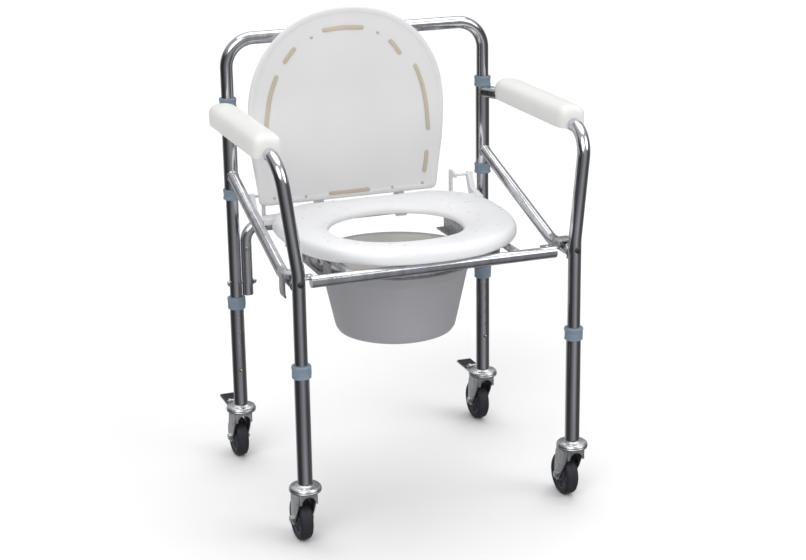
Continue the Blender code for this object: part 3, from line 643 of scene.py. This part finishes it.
def dress_arm_pads():
    """Crowned pads with flat sides, rolled lower edges and round ends over the tube."""
    length = PAD_HIGH.y - PAD_LOW.y
    half = (PAD_HIGH.x - PAD_LOW.x) / 2
    low, top = PAD_LOW.z, PAD_HIGH.z
    drop = top - low
    right = [
        (0.00, top), (0.32, top - 0.0007), (0.62, top - 0.0028), (0.84, top - 0.0066),
        (0.955, top - 0.0115), (0.995, top - 0.0165), (1.00, top - 0.024), (0.99, low + 0.005),
        (0.96, low + 0.0012), (0.90, low), (0.46, low), (0.435, low + 0.002), (0.43, low + 0.010),
        (0.30, low + 0.0165), (0.0, low + 0.0178),
    ]
    section = [(x * half, z) for x, z in right] + [(-x * half, z) for x, z in right[-2:0:-1]]
    section = curve_through(section, 3, closed=True)
    # Along the pad: how far, then how wide and how high it is there, as parts of the whole.
    end = [
        (0.0, 0.60, 0.66), (0.006, 0.74, 0.80), (0.016, 0.86, 0.90), (0.034, 0.95, 0.965), (0.06, 0.985, 0.99),
    ]
    stations = end + [(0.10 + 0.80 * i / 14, 1.0, 1.0) for i in range(15)]
    stations += [(1 - along, wide, high) for along, wide, high in reversed(end)]
    for label, side in SIDES:
        rings = []
        for along, wide, high in stations:
            y = PAD_LOW.y + along * length
            ring = []
            for x, z in section:
                lift = (z - low) / drop
                height = (z - low) * (1 - (1 - high) * max(0.0, lift))
                ring.append((side * ARM_X + x * wide, y, low + height))
            rings.append(ring)
        item = lofted("vis_arm_pad_" + label, rings, cap=True)
        dress(item, "root", "white_pad", "arm_pad_" + label, sharp=50)


# ---- Seat ----

def seat_outline(angle):
    c, s = math.cos(angle), math.sin(angle)
    centre = MID_Y + 0.028
    power = 2.35 if s < 0 else 3.1
    reach = (MID_Y + 0.184 - centre) if s > 0 else (centre - SEAT_LOW.y)
    radius = (abs(c) ** power + abs(s) ** power) ** (-1 / power)
    return Vector((SEAT_HALF_WIDTH * radius * c, centre + reach * radius * s))


def hole_outline(angle):
    c, s = math.cos(angle), math.sin(angle)
    power = 2.2
    radius = (abs(c) ** power + abs(s) ** power) ** (-1 / power)
    return Vector((HOLE_HALF_WIDTH * radius * c, HOLE_Y + HOLE_HALF_LENGTH * radius * s))


def dress_seat():
    """The moulded ring: a sloping inner lip, a broad crown, a rolled edge, and the hinge platform."""
    bottom = SEAT_UNDERSIDE
    section = [
        (0.000, 0.4652), (0.004, 0.469), (0.022, 0.4728), (0.075, 0.4768), (0.17, 0.4815), (0.30, 0.4855),
        (0.46, 0.4885), (0.62, 0.4898), (0.78, 0.4898), (0.88, 0.4885), (0.945, 0.4855), (0.982, 0.4805),
        (0.996, 0.4752), (0.992, 0.4700), (0.972, 0.466), (0.935, bottom), (0.80, bottom), (0.50, bottom),
        (0.20, bottom), (0.05, bottom),
    ]
    smooth = curve_through(section, 2, closed=True)
    count = 128
    platform, platform_top = LID_LOW.y - 0.004, 0.4829
    rings = []
    for i in range(count):
        angle = 2 * math.pi * (i + 0.5) / count
        inner, outer = hole_outline(angle), seat_outline(angle)
        ring = []
        for part, z in smooth:
            place = inner.lerp(outer, part)
            blend = min(1.0, max(0.0, (place.y - platform + 0.010) / 0.010))
            blend = blend * blend * (3 - 2 * blend)
            limit = SEAT_HIGH.z * (1 - blend) + platform_top * blend if blend else 1.0
            ring.append((place.x, place.y, min(z, limit)))
        rings.append(ring)
    parts = [lofted("ring", rings, cap=False)]
    lug_low, lug_high, lug_start = 0.4668, 0.4788, PIN_Y - 0.058
    outline = [
        (lug_start, lug_low), (PIN_Y - 0.012, lug_low), (PIN_Y + 0.0055, PIN_Z - 0.004),
        *about(PIN_Y, PIN_Z, [(0.0048, 0.0028), (0.0025, 0.005), (-0.0005, 0.0055), (-0.004, 0.004)]),
        (PIN_Y - 0.020, 0.485), (lug_start, lug_high),
    ]
    for _, side in SIDES:
        parts.append(plate("lug", outline, 0.0100, facing_x(side * SEAT_LUG_X), 0.0012))
        low_x, high_x = sorted((side * 0.150, side * (SEAT_LUG_X + 0.0048)))
        parts.append(box("bridge", (low_x, lug_start, lug_low), (high_x, PIN_Y - 0.030, lug_high), 0.003, 4))
    dress(joined("vis_seat", parts), "seat", "white_shell", "seat", sharp=45)


# ---- Lid ----

LID_X = middle("lid").x
LID_HALF_WIDTH = (LID_HIGH.x - LID_LOW.x) / 2
LID_FOOT = LID_LOW.z
LID_TOP = LID_HIGH.z
LID_FACE = LID_LOW.y


def lid_half_edge():
    """Half of the lid's edge, from the hinge end's middle to the top."""
    foot_half, corner, arch = 0.171, 0.012, 0.650
    fullness = 0.92
    points = [(0.09 * i / 4, LID_FOOT) for i in range(5)] + [(0.12, LID_FOOT)]
    for i in range(9):
        angle = math.pi / 2 * i / 8
        points.append(
            (foot_half - corner + corner * math.sin(angle), LID_FOOT + corner - corner * math.cos(angle))
        )
    points += [(0.1755, 0.540), (0.182, 0.585), (0.1845, 0.620)]
    for i in range(33):
        angle = math.pi / 2 * i / 32
        wide = max(0.0, math.cos(angle)) ** fullness
        points.append((LID_HALF_WIDTH * wide, arch + (LID_TOP - arch) * math.sin(angle) ** fullness))
    return points


def lid_edge(inset):
    centre = (LID_FOOT + LID_TOP) / 2
    wide = 1 - inset / LID_HALF_WIDTH
    high = 1 - inset / (centre - LID_FOOT)
    half = [(x * wide, centre + (z - centre) * high) for x, z in lid_half_edge()]
    return half[:-1] + [(-x, z) for x, z in reversed(half[1:])]


def dress_lid():
    """The shell: a recessed face towards the seat, a rolled rim, and a domed back."""
    # From the middle of the face round the edge to the middle of the back: inset, then depth.
    layers = [
        (0.120, 0.0014), (0.060, 0.0013), (0.020, 0.0012), (0.012, 0.0012), (0.0105, 0.0009),
        (0.0092, 0.0003), (0.008, 0.0), (0.004, 0.0), (0.0018, 0.0004), (0.0006, 0.0013), (0.0, 0.0027),
        (0.0009, 0.0046), (0.0035, 0.006), (0.012, 0.007), (0.035, 0.0078), (0.070, 0.0084), (0.120, 0.0086),
    ]
    rings = [[(LID_X + x, LID_FACE + depth, z) for x, z in lid_edge(inset)] for inset, depth in layers]
    parts = [lofted("shell", rings, cap=True)]
    knuckle = rounded_profile([(0.0055, 0.005), (0.0055, -0.005), (0.0029, -0.005), (0.0029, 0.005)], 0.0006)
    for _, side in SIDES:
        centre = side * LID_KNUCKLE_X
        parts.append(turned("knuckle", knuckle, 32, along_x(centre, PIN_Y, PIN_Z)))
        web_low = (centre - 0.0048, LID_FACE + 0.0055, PIN_Z - 0.005)
        web_high = (centre + 0.0048, PIN_Y - 0.003, PIN_Z + 0.0053)
        parts.append(box("web", web_low, web_high, 0.001))
    dress(joined("vis_lid", parts), "lid", "white_lid", "lid", sharp=45)


def lid_strip(name, points, width=0.0075):
    """A soft bumper strip on the lid's face, with half-round ends."""
    line = curve_through([(LID_X + x, z) for x, z in points], 5)
    outline = round_ended([tuple(point) for point in line], width)
    return plate(name, outline, 0.003, facing_y(LID_FACE + 0.0009), 0.001)


def dress_lid_bumpers():
    """Strips down the sides, across the foot and round the top, and the round stops between them."""
    strips = {
        "top": [(-0.040, 0.7985), (-0.006, 0.801), (0.030, 0.7985)],
        "upper_left": [(-0.097, 0.769), (-0.106, 0.759), (-0.114, 0.748)],
        "upper_right": [(0.084, 0.770), (0.093, 0.760), (0.101, 0.748)],
        "foot": [(-0.036, 0.5015), (0.0, 0.5015), (0.036, 0.5015)],
        "low_right": [(0.151, 0.560), (0.149, 0.543), (0.146, 0.526)],
    }
    for name, points in strips.items():
        dress(lid_strip("vis_lid_bumper_" + name, points), "lid", "beige_rubber")
    sides = {
        "left": [(-0.131, 0.722), (-0.143, 0.690), (-0.150, 0.655), (-0.1535, 0.625)],
        "right": [(0.131, 0.722), (0.143, 0.690), (0.151, 0.650), (0.1545, 0.605)],
    }
    for label, points in sides.items():
        item = lid_strip("vis_lid_bumper_" + label, points)
        dress(item, "lid", "beige_rubber", "lid_bumper_" + label)
    stops = (
        (-0.064, 0.787), (0.060, 0.787),
        (-0.142, 0.5035), (-0.083, 0.5005), (0.083, 0.5005), (0.142, 0.5035),
    )
    profile = [
        (0, 0.0018), (0.0012, 0.0017), (0.0023, 0.0011), (0.0027, 0.0002), (0.0027, -0.0012), (0, -0.0012),
    ]
    for i, (x, z) in enumerate(stops):
        place = toward_front(LID_X + x, LID_FACE + 0.0008, z)
        dress(turned(f"vis_lid_stop_{i}", profile, 24, place), "lid", "beige_rubber")


def dress_lid_brackets():
    """Clips on the cross tube, each with a neck and a pin for the lid."""
    back, neck = REAR_Y + 0.0045, REAR_Y + 0.015
    outline = [
        (back, BAR_Z), (neck, BAR_Z), (neck, PIN_Z + 0.0015), (neck - 0.0012, PIN_Z + 0.0042),
        (neck - 0.004, PIN_Z + 0.0055),
        *about(PIN_Y, PIN_Z, [(0, 0.0055), (-0.0035, 0.0042), (-0.005, 0.0012), (-0.0045, -0.0028)]),
        *about(PIN_Y, PIN_Z, [(-0.0018, -0.0052), (0.001, -0.0055)]), (back, PIN_Z - 0.0055),
    ]
    for label, side in SIDES:
        node = "lid_bracket_" + label
        centre = side * LID_BRACKET_X
        parts = [plate("neck", outline, 0.018, facing_x(centre), 0.001)]
        clip = rounded_profile([(0.015, 0.009), (0.015, -0.009), (0.0102, -0.009), (0.0102, 0.009)], 0.0012)
        parts.append(turned("clip", clip, 48, along_x(centre, REAR_Y, BAR_Z)))
        inner, outer = sorted((centre, side * 0.101))
        pin = [(0, outer), (0.002, outer), (0.0025, outer - 0.0005), (0.0025, inner + 0.0005), (0, inner)]
        parts.append(turned("pin", pin, 24, along_x(0, PIN_Y, PIN_Z)))
        dress(joined("vis_" + node, parts), "root", "white_shell", node, sharp=45)


# ---- Seat frame's fittings ----

def dress_hooks():
    """A strip from the crossbar over the brace's stub and down its outside, with its rivet."""
    line = [
        (0.206, 0.4535), (0.2300, 0.4535), (0.2305, 0.454), (0.2305, 0.462), (0.2316, 0.4646),
        (0.234, 0.4655), (0.256, 0.4655), (0.2585, 0.4646), (0.2595, 0.462), (0.2595, 0.436),
        (0.259, 0.431), (0.2575, 0.4262),
    ]
    dome = [(0, 0.002), (0.002, 0.0018), (0.0036, 0.0008), (0.004, -0.0004), (0, -0.0004)]
    for label, side in SIDES:
        low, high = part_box("hook_" + label)
        centre_y = (low.y + high.y) / 2
        outline = band([(side * x, z) for x, z in line], 0.003)
        item = plate("vis_hook_" + label, outline, high.y - low.y, facing_y(centre_y), 0.0006)
        dress(item, "seat_frame", "zinc", "hook_" + label)
        place = Matrix.Translation((side * 0.2135, centre_y, 0.4552))
        rivet = turned("vis_hook_rivet_" + label, dome, 24, place)
        dress(rivet, "seat_frame", "zinc")
        keep("pail_rail_" + label, "zinc")


def dress_side_rails():
    """A rail under the seat, its sleeve on the cross tube, and the clip and pin that hold the seat."""
    back = REAR_Y + 0.005
    outline = [
        (back, BAR_Z + 0.004), (REAR_Y + 0.0125, BAR_Z + 0.004), (REAR_Y + 0.015, BAR_Z + 0.012),
        *about(REAR_Y, PIN_Z, [(0.015, 0.001), (0.0138, 0.0042), (0.011, 0.0055)]),
        *about(PIN_Y, PIN_Z, [(0, 0.0055), (-0.0034, 0.004), (-0.0046, 0), (-0.0034, -0.004), (0, -0.0055)]),
        (back, PIN_Z - 0.0055),
    ]
    for label, side in SIDES:
        node = "side_rail_" + label
        rail_x, clip_x = side * SIDE_RAIL_X, side * SEAT_CLIP_X
        path = [(rail_x, BAR_Y + 0.009, SIDE_RAIL_Z), (rail_x, REAR_Y - 0.012, SIDE_RAIL_Z)]
        parts = [tube("rail", path, SIDE_RAIL_R, 6)]
        inner, outer = sorted((side * 0.141, side * 0.185))
        sleeve = [(0.014, outer), (0.014, inner), (0.0104, inner), (0.0104, outer)]
        parts.append(turned("sleeve", rounded_profile(sleeve, 0.0008), 44, along_x(0, REAR_Y, BAR_Z)))
        dress(joined("vis_" + node, parts), "seat_frame", "zinc", node)
        clip = [plate("ear", outline, 0.005, facing_x(clip_x), 0.001)]
        low_x, high_x = sorted((clip_x, side * (SEAT_LUG_X + 0.007)))
        pin = [(0, high_x), (0.0021, high_x), (0.0025, high_x - 0.0004), (0.0025, low_x), (0, low_x)]
        clip.append(turned("pin", pin, 24, along_x(0, PIN_Y, PIN_Z)))
        dress(joined("vis_seat_clip_" + label, clip), "seat_frame", "white_shell")


# ---- Pail ----

def dress_pail():
    """A tapered bowl with a rolled rim, a stepped floor with a raised round, and ears for the bail."""
    rim, floor = PAIL_HIGH.z - 0.0075, PAIL_LOW.z
    profile = []
    for level, points in (
        (floor, (
            (0, 0.015), (0.020, 0.0148), (0.038, 0.0135), (0.044, 0.0112), (0.0475, 0.0075),
            (0.0505, 0.006), (0.089, 0.006), (0.0985, 0.0085), (0.104, 0.015), (0.1158, 0.062),
            (0.1172, 0.064), (0.1178, 0.067),
        )),
        (rim, (
            (0.1215, -0.044), (0.1232, -0.0425), (0.124, -0.0400), (0.127, -0.022),
            (0.1300, -0.008), (0.133, -0.0015), (0.137, -0.0001), (0.148, 0), (0.1496, -0.0005),
            (0.1500, -0.0016), (0.1494, -0.0026), (0.148, -0.003), (0.1365, -0.0031),
            (0.1345, -0.0045), (0.1305, -0.021), (0.1298, -0.0235), (0.1288, -0.0245),
        )),
        (floor, (
            (0.1082, 0.015), (0.1062, 0.008), (0.1025, 0.0025), (0.0965, 0), (0.085, 0),
            (0.083, 0.002), (0.0, 0.002),
        )),
    ):
        profile += [(radius, level + height) for radius, height in points]
    parts = [turned("bowl", profile, 128, upright(0, PAIL_Y))]
    for _, side in SIDES:
        low_x, high_x = sorted((side * 0.138, side * 0.1412))
        ear_low, ear_high = (low_x, PAIL_Y - 0.006, rim - 0.002), (high_x, PAIL_Y + 0.006, PAIL_HIGH.z)
        parts.append(box("ear", ear_low, ear_high, 0.0012))
    item = dress(joined("vis_pail", parts), "pail", "grey_plastic", "pail", sharp=40)
    # Faces inside the bowl, above its floor, get the lighter copy of the plastic: painted light, as if light
    # falls in through the seat's hole.
    item.data.materials.append(SURFACES["pail_inside_painted_light"])
    floor_half = 0.099
    for face in item.data.polygons:
        outward = Vector((face.center.x, face.center.y - PAIL_Y, 0))
        is_above = face.center.z > floor + 0.004
        is_inside = outward.length < floor_half or face.normal.dot(outward) < -1e-5
        face.material_index = 1 if is_above and is_inside else 0


def dress_bail():
    """A wire half round the rim's front, with its ends turned in through the ears."""
    path = [(-0.1405, PAIL_Y, BAIL_Z), (-0.1425, PAIL_Y, BAIL_Z)]
    count = 60
    for i in range(1, count):
        angle = math.pi + math.pi * i / count
        path.append((BAIL_R * math.cos(angle), PAIL_Y + BAIL_R * math.sin(angle), BAIL_Z))
    path += [(0.1425, PAIL_Y, BAIL_Z), (0.1405, PAIL_Y, BAIL_Z)]
    dress(tube("vis_pail_bail", path, BAIL_WIRE_R, 5), "bail", "zinc", "pail_bail")


# ---- Legs and casters ----

def dress_lower_leg(label, x, y, facing):
    """A tube with a bore for the inner tube and a row of holes, and the brass button in the lowest."""
    top, bottom, bore_floor = LOWER_LEG_TOP, LOWER_LEG_BOTTOM, 0.140
    profile = [
        (0, bore_floor), (BORE_R, bore_floor), (BORE_R, top - 0.0005), (BORE_R + 0.0004, top),
        (OUTER_TUBE_R - 0.0004, top), (OUTER_TUBE_R, top - 0.0005), (OUTER_TUBE_R, bottom + 0.0008),
        (OUTER_TUBE_R - 0.0008, bottom), (0, bottom),
    ]
    item = turned("vis_lower_leg_" + label, profile, 56, upright(x, y))
    spin = Matrix.Rotation(-facing * math.pi / 2, 4, "X")
    for k in range(5):
        place = Matrix.Translation((x, y, BUTTON_Z + k * HOLE_PITCH)) @ spin
        hole = turned("hole", [(0, 0.016), (0.0036, 0.016), (0.0036, 0.009), (0, 0.009)], 24, place)
        item = cut(item, hole)
    dress(item, "leg_" + label, "chrome", "lower_leg_" + label, sharp=30)
    button = [
        (0, 0.016), (0.001, 0.01588), (0.0019, 0.0154), (0.0026, 0.0146), (0.003, 0.0134),
        (0.003, 0.0104), (0, 0.0104),
    ]
    item = turned("vis_snap_button_" + label, button, 28, Matrix.Translation((x, y, BUTTON_Z)) @ spin)
    dress(item, "button_" + label, "brass", "snap_button_" + label)


def dress_leg_collar(label, x, y):
    """A moulded collar with a lip at its top, a clamped waist, and a small grip rib at each side."""
    r = radius_of("leg_collar_" + label)
    bottom, top = (corner.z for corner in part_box("leg_collar_" + label))
    step = LOWER_LEG_TOP + 0.0003
    profile = [
        (r - 0.003, top), (r - 0.0008, top - 0.0006), (r, top - 0.002), (r, top - 0.0055),
        (r - 0.0011, top - 0.0068), (r - 0.0011, bottom + 0.0035), (r - 0.0004, bottom + 0.0025),
        (r - 0.0004, bottom + 0.001), (r - 0.0014, bottom), (OUTER_TUBE_R + 0.0001, bottom),
        (OUTER_TUBE_R + 0.0001, step), (BORE_R - 0.0002, step), (BORE_R - 0.0002, top),
    ]
    parts = [turned("collar", rounded_profile(profile, 0.0005), 56, upright(x, y))]
    for _, side in SIDES:
        rib_x = x + side * (r - 0.0018)
        rib_low = (rib_x - 0.001, y - 0.0035, bottom + 0.0035)
        rib_high = (rib_x + 0.0016, y + 0.0035, top - 0.006)
        parts.append(box("rib", rib_low, rib_high, 0.0006))
    item = joined("vis_leg_collar_" + label, parts)
    dress(item, "leg_" + label, "collar_plastic", "leg_collar_" + label)


def cheek_outline(y):
    """A fork cheek: wide at the dish, waisted in front, round about the axle."""
    axle_y, foot_r = y + TRAIL, 0.0105
    points = [
        (y - 0.017, 0.1045), (y - 0.0185, 0.1000), (y - 0.017, 0.093), (y - 0.0105, 0.0800),
        (y - 0.001, 0.062),
    ]
    for i in range(15):
        angle = math.radians(188 + i * 12.6)
        points.append((axle_y + foot_r * math.cos(angle), WHEEL_R + foot_r * math.sin(angle)))
    points += [(y + 0.037, 0.0600), (y + 0.0345, 0.078), (y + 0.029, 0.093), (y + 0.024, 0.1045)]
    return points


def dress_fork(label, x, y, braked):
    """A pressed fork: a domed dish with a rolled ball race, two cheeks, and an arched apron in front."""
    top = DISH_TOP
    dish = [(radius, top - down) for radius, down in (
        (0, 0), (0.0135, 0), (0.015, 0.0006), (0.0165, 0.0022), (0.018, 0.0028), (0.0225, 0.0032),
        (0.0252, 0.0044), (0.0266, 0.0064), (0.0272, 0.008), (0.0267, 0.0088), (0.0268, 0.0096),
        (0.0275, 0.0104), (0.027, 0.0126), (0.0235, 0.0138), (0.015, 0.014), (0.012, 0.0165),
        (0, 0.0165),
    )]
    parts = [turned("dish", dish, 72, upright(x, y))]
    for _, side in SIDES:
        parts.append(plate("cheek", cheek_outline(y), 0.0025, facing_x(x + side * FORK_HALF), 0.0007))
    crown_low = (x - FORK_HALF - 0.001, y - 0.0165, 0.095)
    crown_high = (x + FORK_HALF + 0.001, y + 0.0245, 0.0985)
    parts.append(box("crown", crown_low, crown_high, 0.0012))
    half, apron_low, apron_high = FORK_HALF + 0.0011, 0.079, 0.102
    apron = [(x - half, apron_high), (x - half, apron_low)]
    for i in range(13):
        angle = math.pi - math.pi * i / 12
        apron.append((x + 0.0118 * math.cos(angle), apron_low + 0.001 + 0.0125 * math.sin(angle)))
    apron += [(x + half, apron_low), (x + half, apron_high)]
    parts.append(plate("apron", apron, 0.0025, facing_y(y - 0.0172), 0.0007))
    if braked:
        pin_y = y + 0.040
        parts.append(box("tongue", (x - 0.007, y + 0.018, top - 0.012), (x + 0.007, pin_y, top - 0.006), 0.001))
        pin = [(0, 0.014), (0.003, 0.014), (0.0035, 0.0135), (0.0035, -0.0135), (0.003, -0.014), (0, -0.014)]
        parts.append(turned("pin", pin, 28, along_x(x, pin_y, PEDAL_PIN_Z)))
    item = joined("vis_caster_fork_" + label, parts)
    dress(item, "caster_" + label, "zinc", "caster_fork_" + label, sharp=35)


def dress_axle(label, x, y):
    """A hex bolt head with a washer on one side, and a hex nut on the other."""
    face, washer_r, head_r = FORK_HALF + 0.00125, 0.0078, 0.0066
    place = along_x(x, y + TRAIL, WHEEL_R)
    parts = [
        bar_x("axle_part", low, high, radius, sides, 0.0005, place)
        for low, high, radius, sides in (
            (face, face + 0.0008, washer_r, 40), (face + 0.0006, face + 0.0045, head_r, 6),
            (-face - 0.0008, -face, washer_r, 40), (-face - 0.0045, -face - 0.0006, head_r, 6),
            (-face, face, AXLE_R, 24),
        )
    ]
    item = joined("vis_caster_axle_" + label, parts)
    dress(item, "caster_" + label, "zinc", "caster_axle_" + label, sharp=25)


def mirrored(side):
    """A profile and its mirror image below z 0."""
    return side + [(radius, -z) for radius, z in reversed(side)]


def dress_wheel(label, x, y):
    """A dark tyre with round shoulders on a bluish hub with a recess, a boss and small ribs."""
    half = 0.011
    place = along_x(x, y + TRAIL, WHEEL_R)
    shoulder = [
        (0.0265, half - 0.0008), (0.029, half), (0.0335, half - 0.0002), (0.0362, half - 0.0022),
        (0.0372, half - 0.0052), (0.0375, half - 0.008),
    ]
    tyre = mirrored(shoulder) + [(0.0262, 0.003 - half), (0.0262, half - 0.003)]
    item = turned("vis_tyre_" + label, tyre, 96, place)
    dress(item, "wheel_" + label, "tyre", "caster_wheel_" + label, sharp=40)
    hub_side = [
        (0.0048, half), (0.0105, half), (0.012, half - 0.0006), (0.0128, half - 0.003),
        (0.014, half - 0.0046), (0.0225, half - 0.0046), (0.024, half - 0.0036), (0.0248, half - 0.0016),
        (0.0263, half - 0.001),
    ]
    parts = [turned("hub", mirrored(hub_side), 72, place)]
    for k in range(8):
        turn = Matrix.Rotation(2 * math.pi * k / 8, 4, "X")
        rib = box("rib", (-half + 0.0022, -0.0007, 0.0125), (half - 0.0022, 0.0007, 0.0246), 0.0004, 2)
        rib.data.transform(Matrix.Translation((x, y + TRAIL, WHEEL_R)) @ turn)
        parts.append(rib)
    dress(joined("vis_hub_" + label, parts), "wheel_" + label, "hub", sharp=40)


def dress_pedal(label, x, y):
    """A ribbed black tread on a pressed tray, whose two cheeks hang on the fork's pin."""
    low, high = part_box("brake_pedal_" + label)
    tray_top, top = low.z + 0.0022, low.z + 0.0045
    tread_high = high.y - 0.0015
    tread_low = (low.x + 0.001, low.y + 0.014, tray_top)
    parts = [box("tread", tread_low, (high.x - 0.001, tread_high, top), 0.0009, 3)]
    for k in range(6):
        edge = tread_high - 0.005 - k * 0.0058
        grip_low = (low.x + 0.003, edge - 0.0018, top - 0.001)
        parts.append(box("grip", grip_low, (high.x - 0.003, edge, top + 0.0009), 0.0004))
    item = joined("vis_brake_pedal_" + label, parts)
    dress(item, "pedal_" + label, "black_plastic", "brake_pedal_" + label)
    pivot_y, pivot_z, eye_r = low.y + 0.005, high.z - 0.0055, 0.0053
    outline = [(pivot_y + 0.0200, low.z + 0.001), (pivot_y - 0.0046, low.z + 0.001)]
    for i in range(10):
        angle = math.radians(190 - 20 * i)
        outline.append((pivot_y + eye_r * math.cos(angle), pivot_z + eye_r * math.sin(angle)))
    outline += [(pivot_y + 0.0100, pivot_z - 0.002), (pivot_y + 0.0200, low.z + 0.004)]
    tray = [box("tray", low, (high.x, high.y, tray_top), 0.0008, 3)]
    for _, side in SIDES:
        tray.append(plate("cheek", outline, 0.0034, facing_x(x + side * 0.0109), 0.0005))
    dress(joined("vis_pedal_tray_" + label, tray), "pedal_" + label, "zinc")


def dress_legs():
    for label, x, y, facing in LEGS:
        braked = label.startswith("rear")
        dress_lower_leg(label, x, y, facing)
        dress_leg_collar(label, x, y)
        dress_fork(label, x, y, braked)
        dress_axle(label, x, y)
        dress_wheel(label, x, y)
        if braked:
            dress_pedal(label, x, y)


# ---- Studio ----

def make_floor():
    """A pale paper floor, far larger than the chair, which the chrome doesn't mirror."""
    reach = 16
    corners = [(-reach, -reach, 0), (reach, -reach, 0), (reach, reach, 0), (-reach, reach, 0)]
    mesh = bpy.data.meshes.new("floor")
    mesh.from_pydata(corners, [], [(0, 1, 2, 3)])
    floor = add_object("floor", mesh)
    finish = Finish("floor_paper", (0.88, 0.88, 0.88), 0.7)
    finish.colours(finish.noise(3, 2), [(0.3, (0.875, 0.875, 0.875)), (0.7, (0.885, 0.885, 0.885))])
    floor.data.materials.append(finish.material)
    floor.visible_glossy = False


# Levels round the horizon, from -X through -Y, +X and +Y: soft panels between darker walls.
PANELS = (
    (0.000, 0.04), (0.060, 0.05), (0.110, 0.12), (0.170, 0.22), (0.256, 0.40), (0.320, 0.26), (0.370, 0.10),
    (0.430, 0.08), (0.500, 0.12), (0.560, 0.16), (0.614, 0.42), (0.660, 0.22), (0.720, 0.18), (0.770, 0.50),
    (0.820, 0.45), (0.870, 0.12), (0.930, 0.05), (1.000, 0.04),
)


def make_world():
    """A soft grey room whose walls have lighter and darker panels, which give the chrome its streaks."""
    world = bpy.data.worlds.new("studio")
    bpy.context.scene.world = world
    world.use_nodes = True
    tree = world.node_tree
    place = tree.nodes.new("ShaderNodeTexCoord").outputs["Generated"]
    panels = tree.nodes.new("ShaderNodeTexGradient")
    panels.gradient_type = "RADIAL"
    tree.links.new(place, panels.inputs["Vector"])
    stops = [(place_round, (level, level, level * 1.02)) for place_round, level in PANELS]
    ramp = ramp_node(tree, panels.outputs["Fac"], stops)
    split = tree.nodes.new("ShaderNodeSeparateXYZ")
    tree.links.new(place, split.inputs["Vector"])
    above = tree.nodes.new("ShaderNodeMapRange")
    above.inputs["From Min"].default_value = 0.30
    above.inputs["From Max"].default_value = 0.62
    tree.links.new(split.outputs["Z"], above.inputs["Value"])
    mix = tree.nodes.new("ShaderNodeMix")
    mix.data_type = "RGBA"
    mix.inputs["B"].default_value = (0.55, 0.55, 0.56, 1)
    tree.links.new(above.outputs["Result"], mix.inputs["Factor"])
    tree.links.new(ramp.outputs["Color"], mix.inputs["A"])
    background = tree.nodes["Background"]
    tree.links.new(mix.outputs["Result"], background.inputs["Color"])


def direction(azimuth, elevation):
    """A unit vector, with the azimuth from -Y towards +X, both angles in radians."""
    level = math.cos(elevation)
    return Vector((math.sin(azimuth) * level, -math.cos(azimuth) * level, math.sin(elevation)))


def make_sun(name, azimuth, elevation, strength, spread):
    """A soft light from a direction, with its angles in degrees."""
    data = bpy.data.lights.new(name, "SUN")
    data.energy = strength
    data.angle = math.radians(spread)
    lamp = add_object(name, data)
    toward = direction(math.radians(azimuth), math.radians(elevation))
    lamp.rotation_euler = toward.to_track_quat("Z", "Y").to_euler()


CAMERA_ANGLES = (-20.48, 17.37, -0.855)
CAMERA_DISTANCE = 3.1665
CAMERA_SIDESTEP = 0.0068
AIM_Z = 0.3777


def make_camera():
    """The viewing angle: the chair's front, turned a little and seen from above."""
    azimuth, elevation, roll = (math.radians(angle) for angle in CAMERA_ANGLES)
    back = direction(azimuth, elevation)
    right = Vector((math.cos(azimuth), math.sin(azimuth), 0))
    up = back.cross(right)
    rolled_right = right * math.cos(roll) + up * math.sin(roll)
    rolled_up = up * math.cos(roll) - right * math.sin(roll)
    data = bpy.data.cameras.new("camera")
    data.sensor_width = 36.0
    data.lens = 80.4
    camera = add_object("camera", data)
    place = Vector((0, MID_Y, AIM_Z)) + back * CAMERA_DISTANCE + rolled_right * CAMERA_SIDESTEP
    turn = Matrix((rolled_right, rolled_up, back)).transposed().to_4x4()
    camera.matrix_world = Matrix.Translation(place) @ turn
    bpy.context.scene.camera = camera


dress_frame_tubes()
dress_sleeves()
dress_cross_bolts()
dress_arm_pads()
dress_seat()
dress_lid()
dress_lid_bumpers()
dress_lid_brackets()
dress_hooks()
dress_side_rails()
dress_pail()
dress_bail()
dress_legs()
make_floor()
make_world()
make_sun("key", -38, 42, 1.15, 40)
make_sun("fill", 48, 34, 0.75, 40)
make_sun("top", 150, 74, 1.35, 60)
make_camera()
bpy.context.scene.view_settings.view_transform = "Standard"
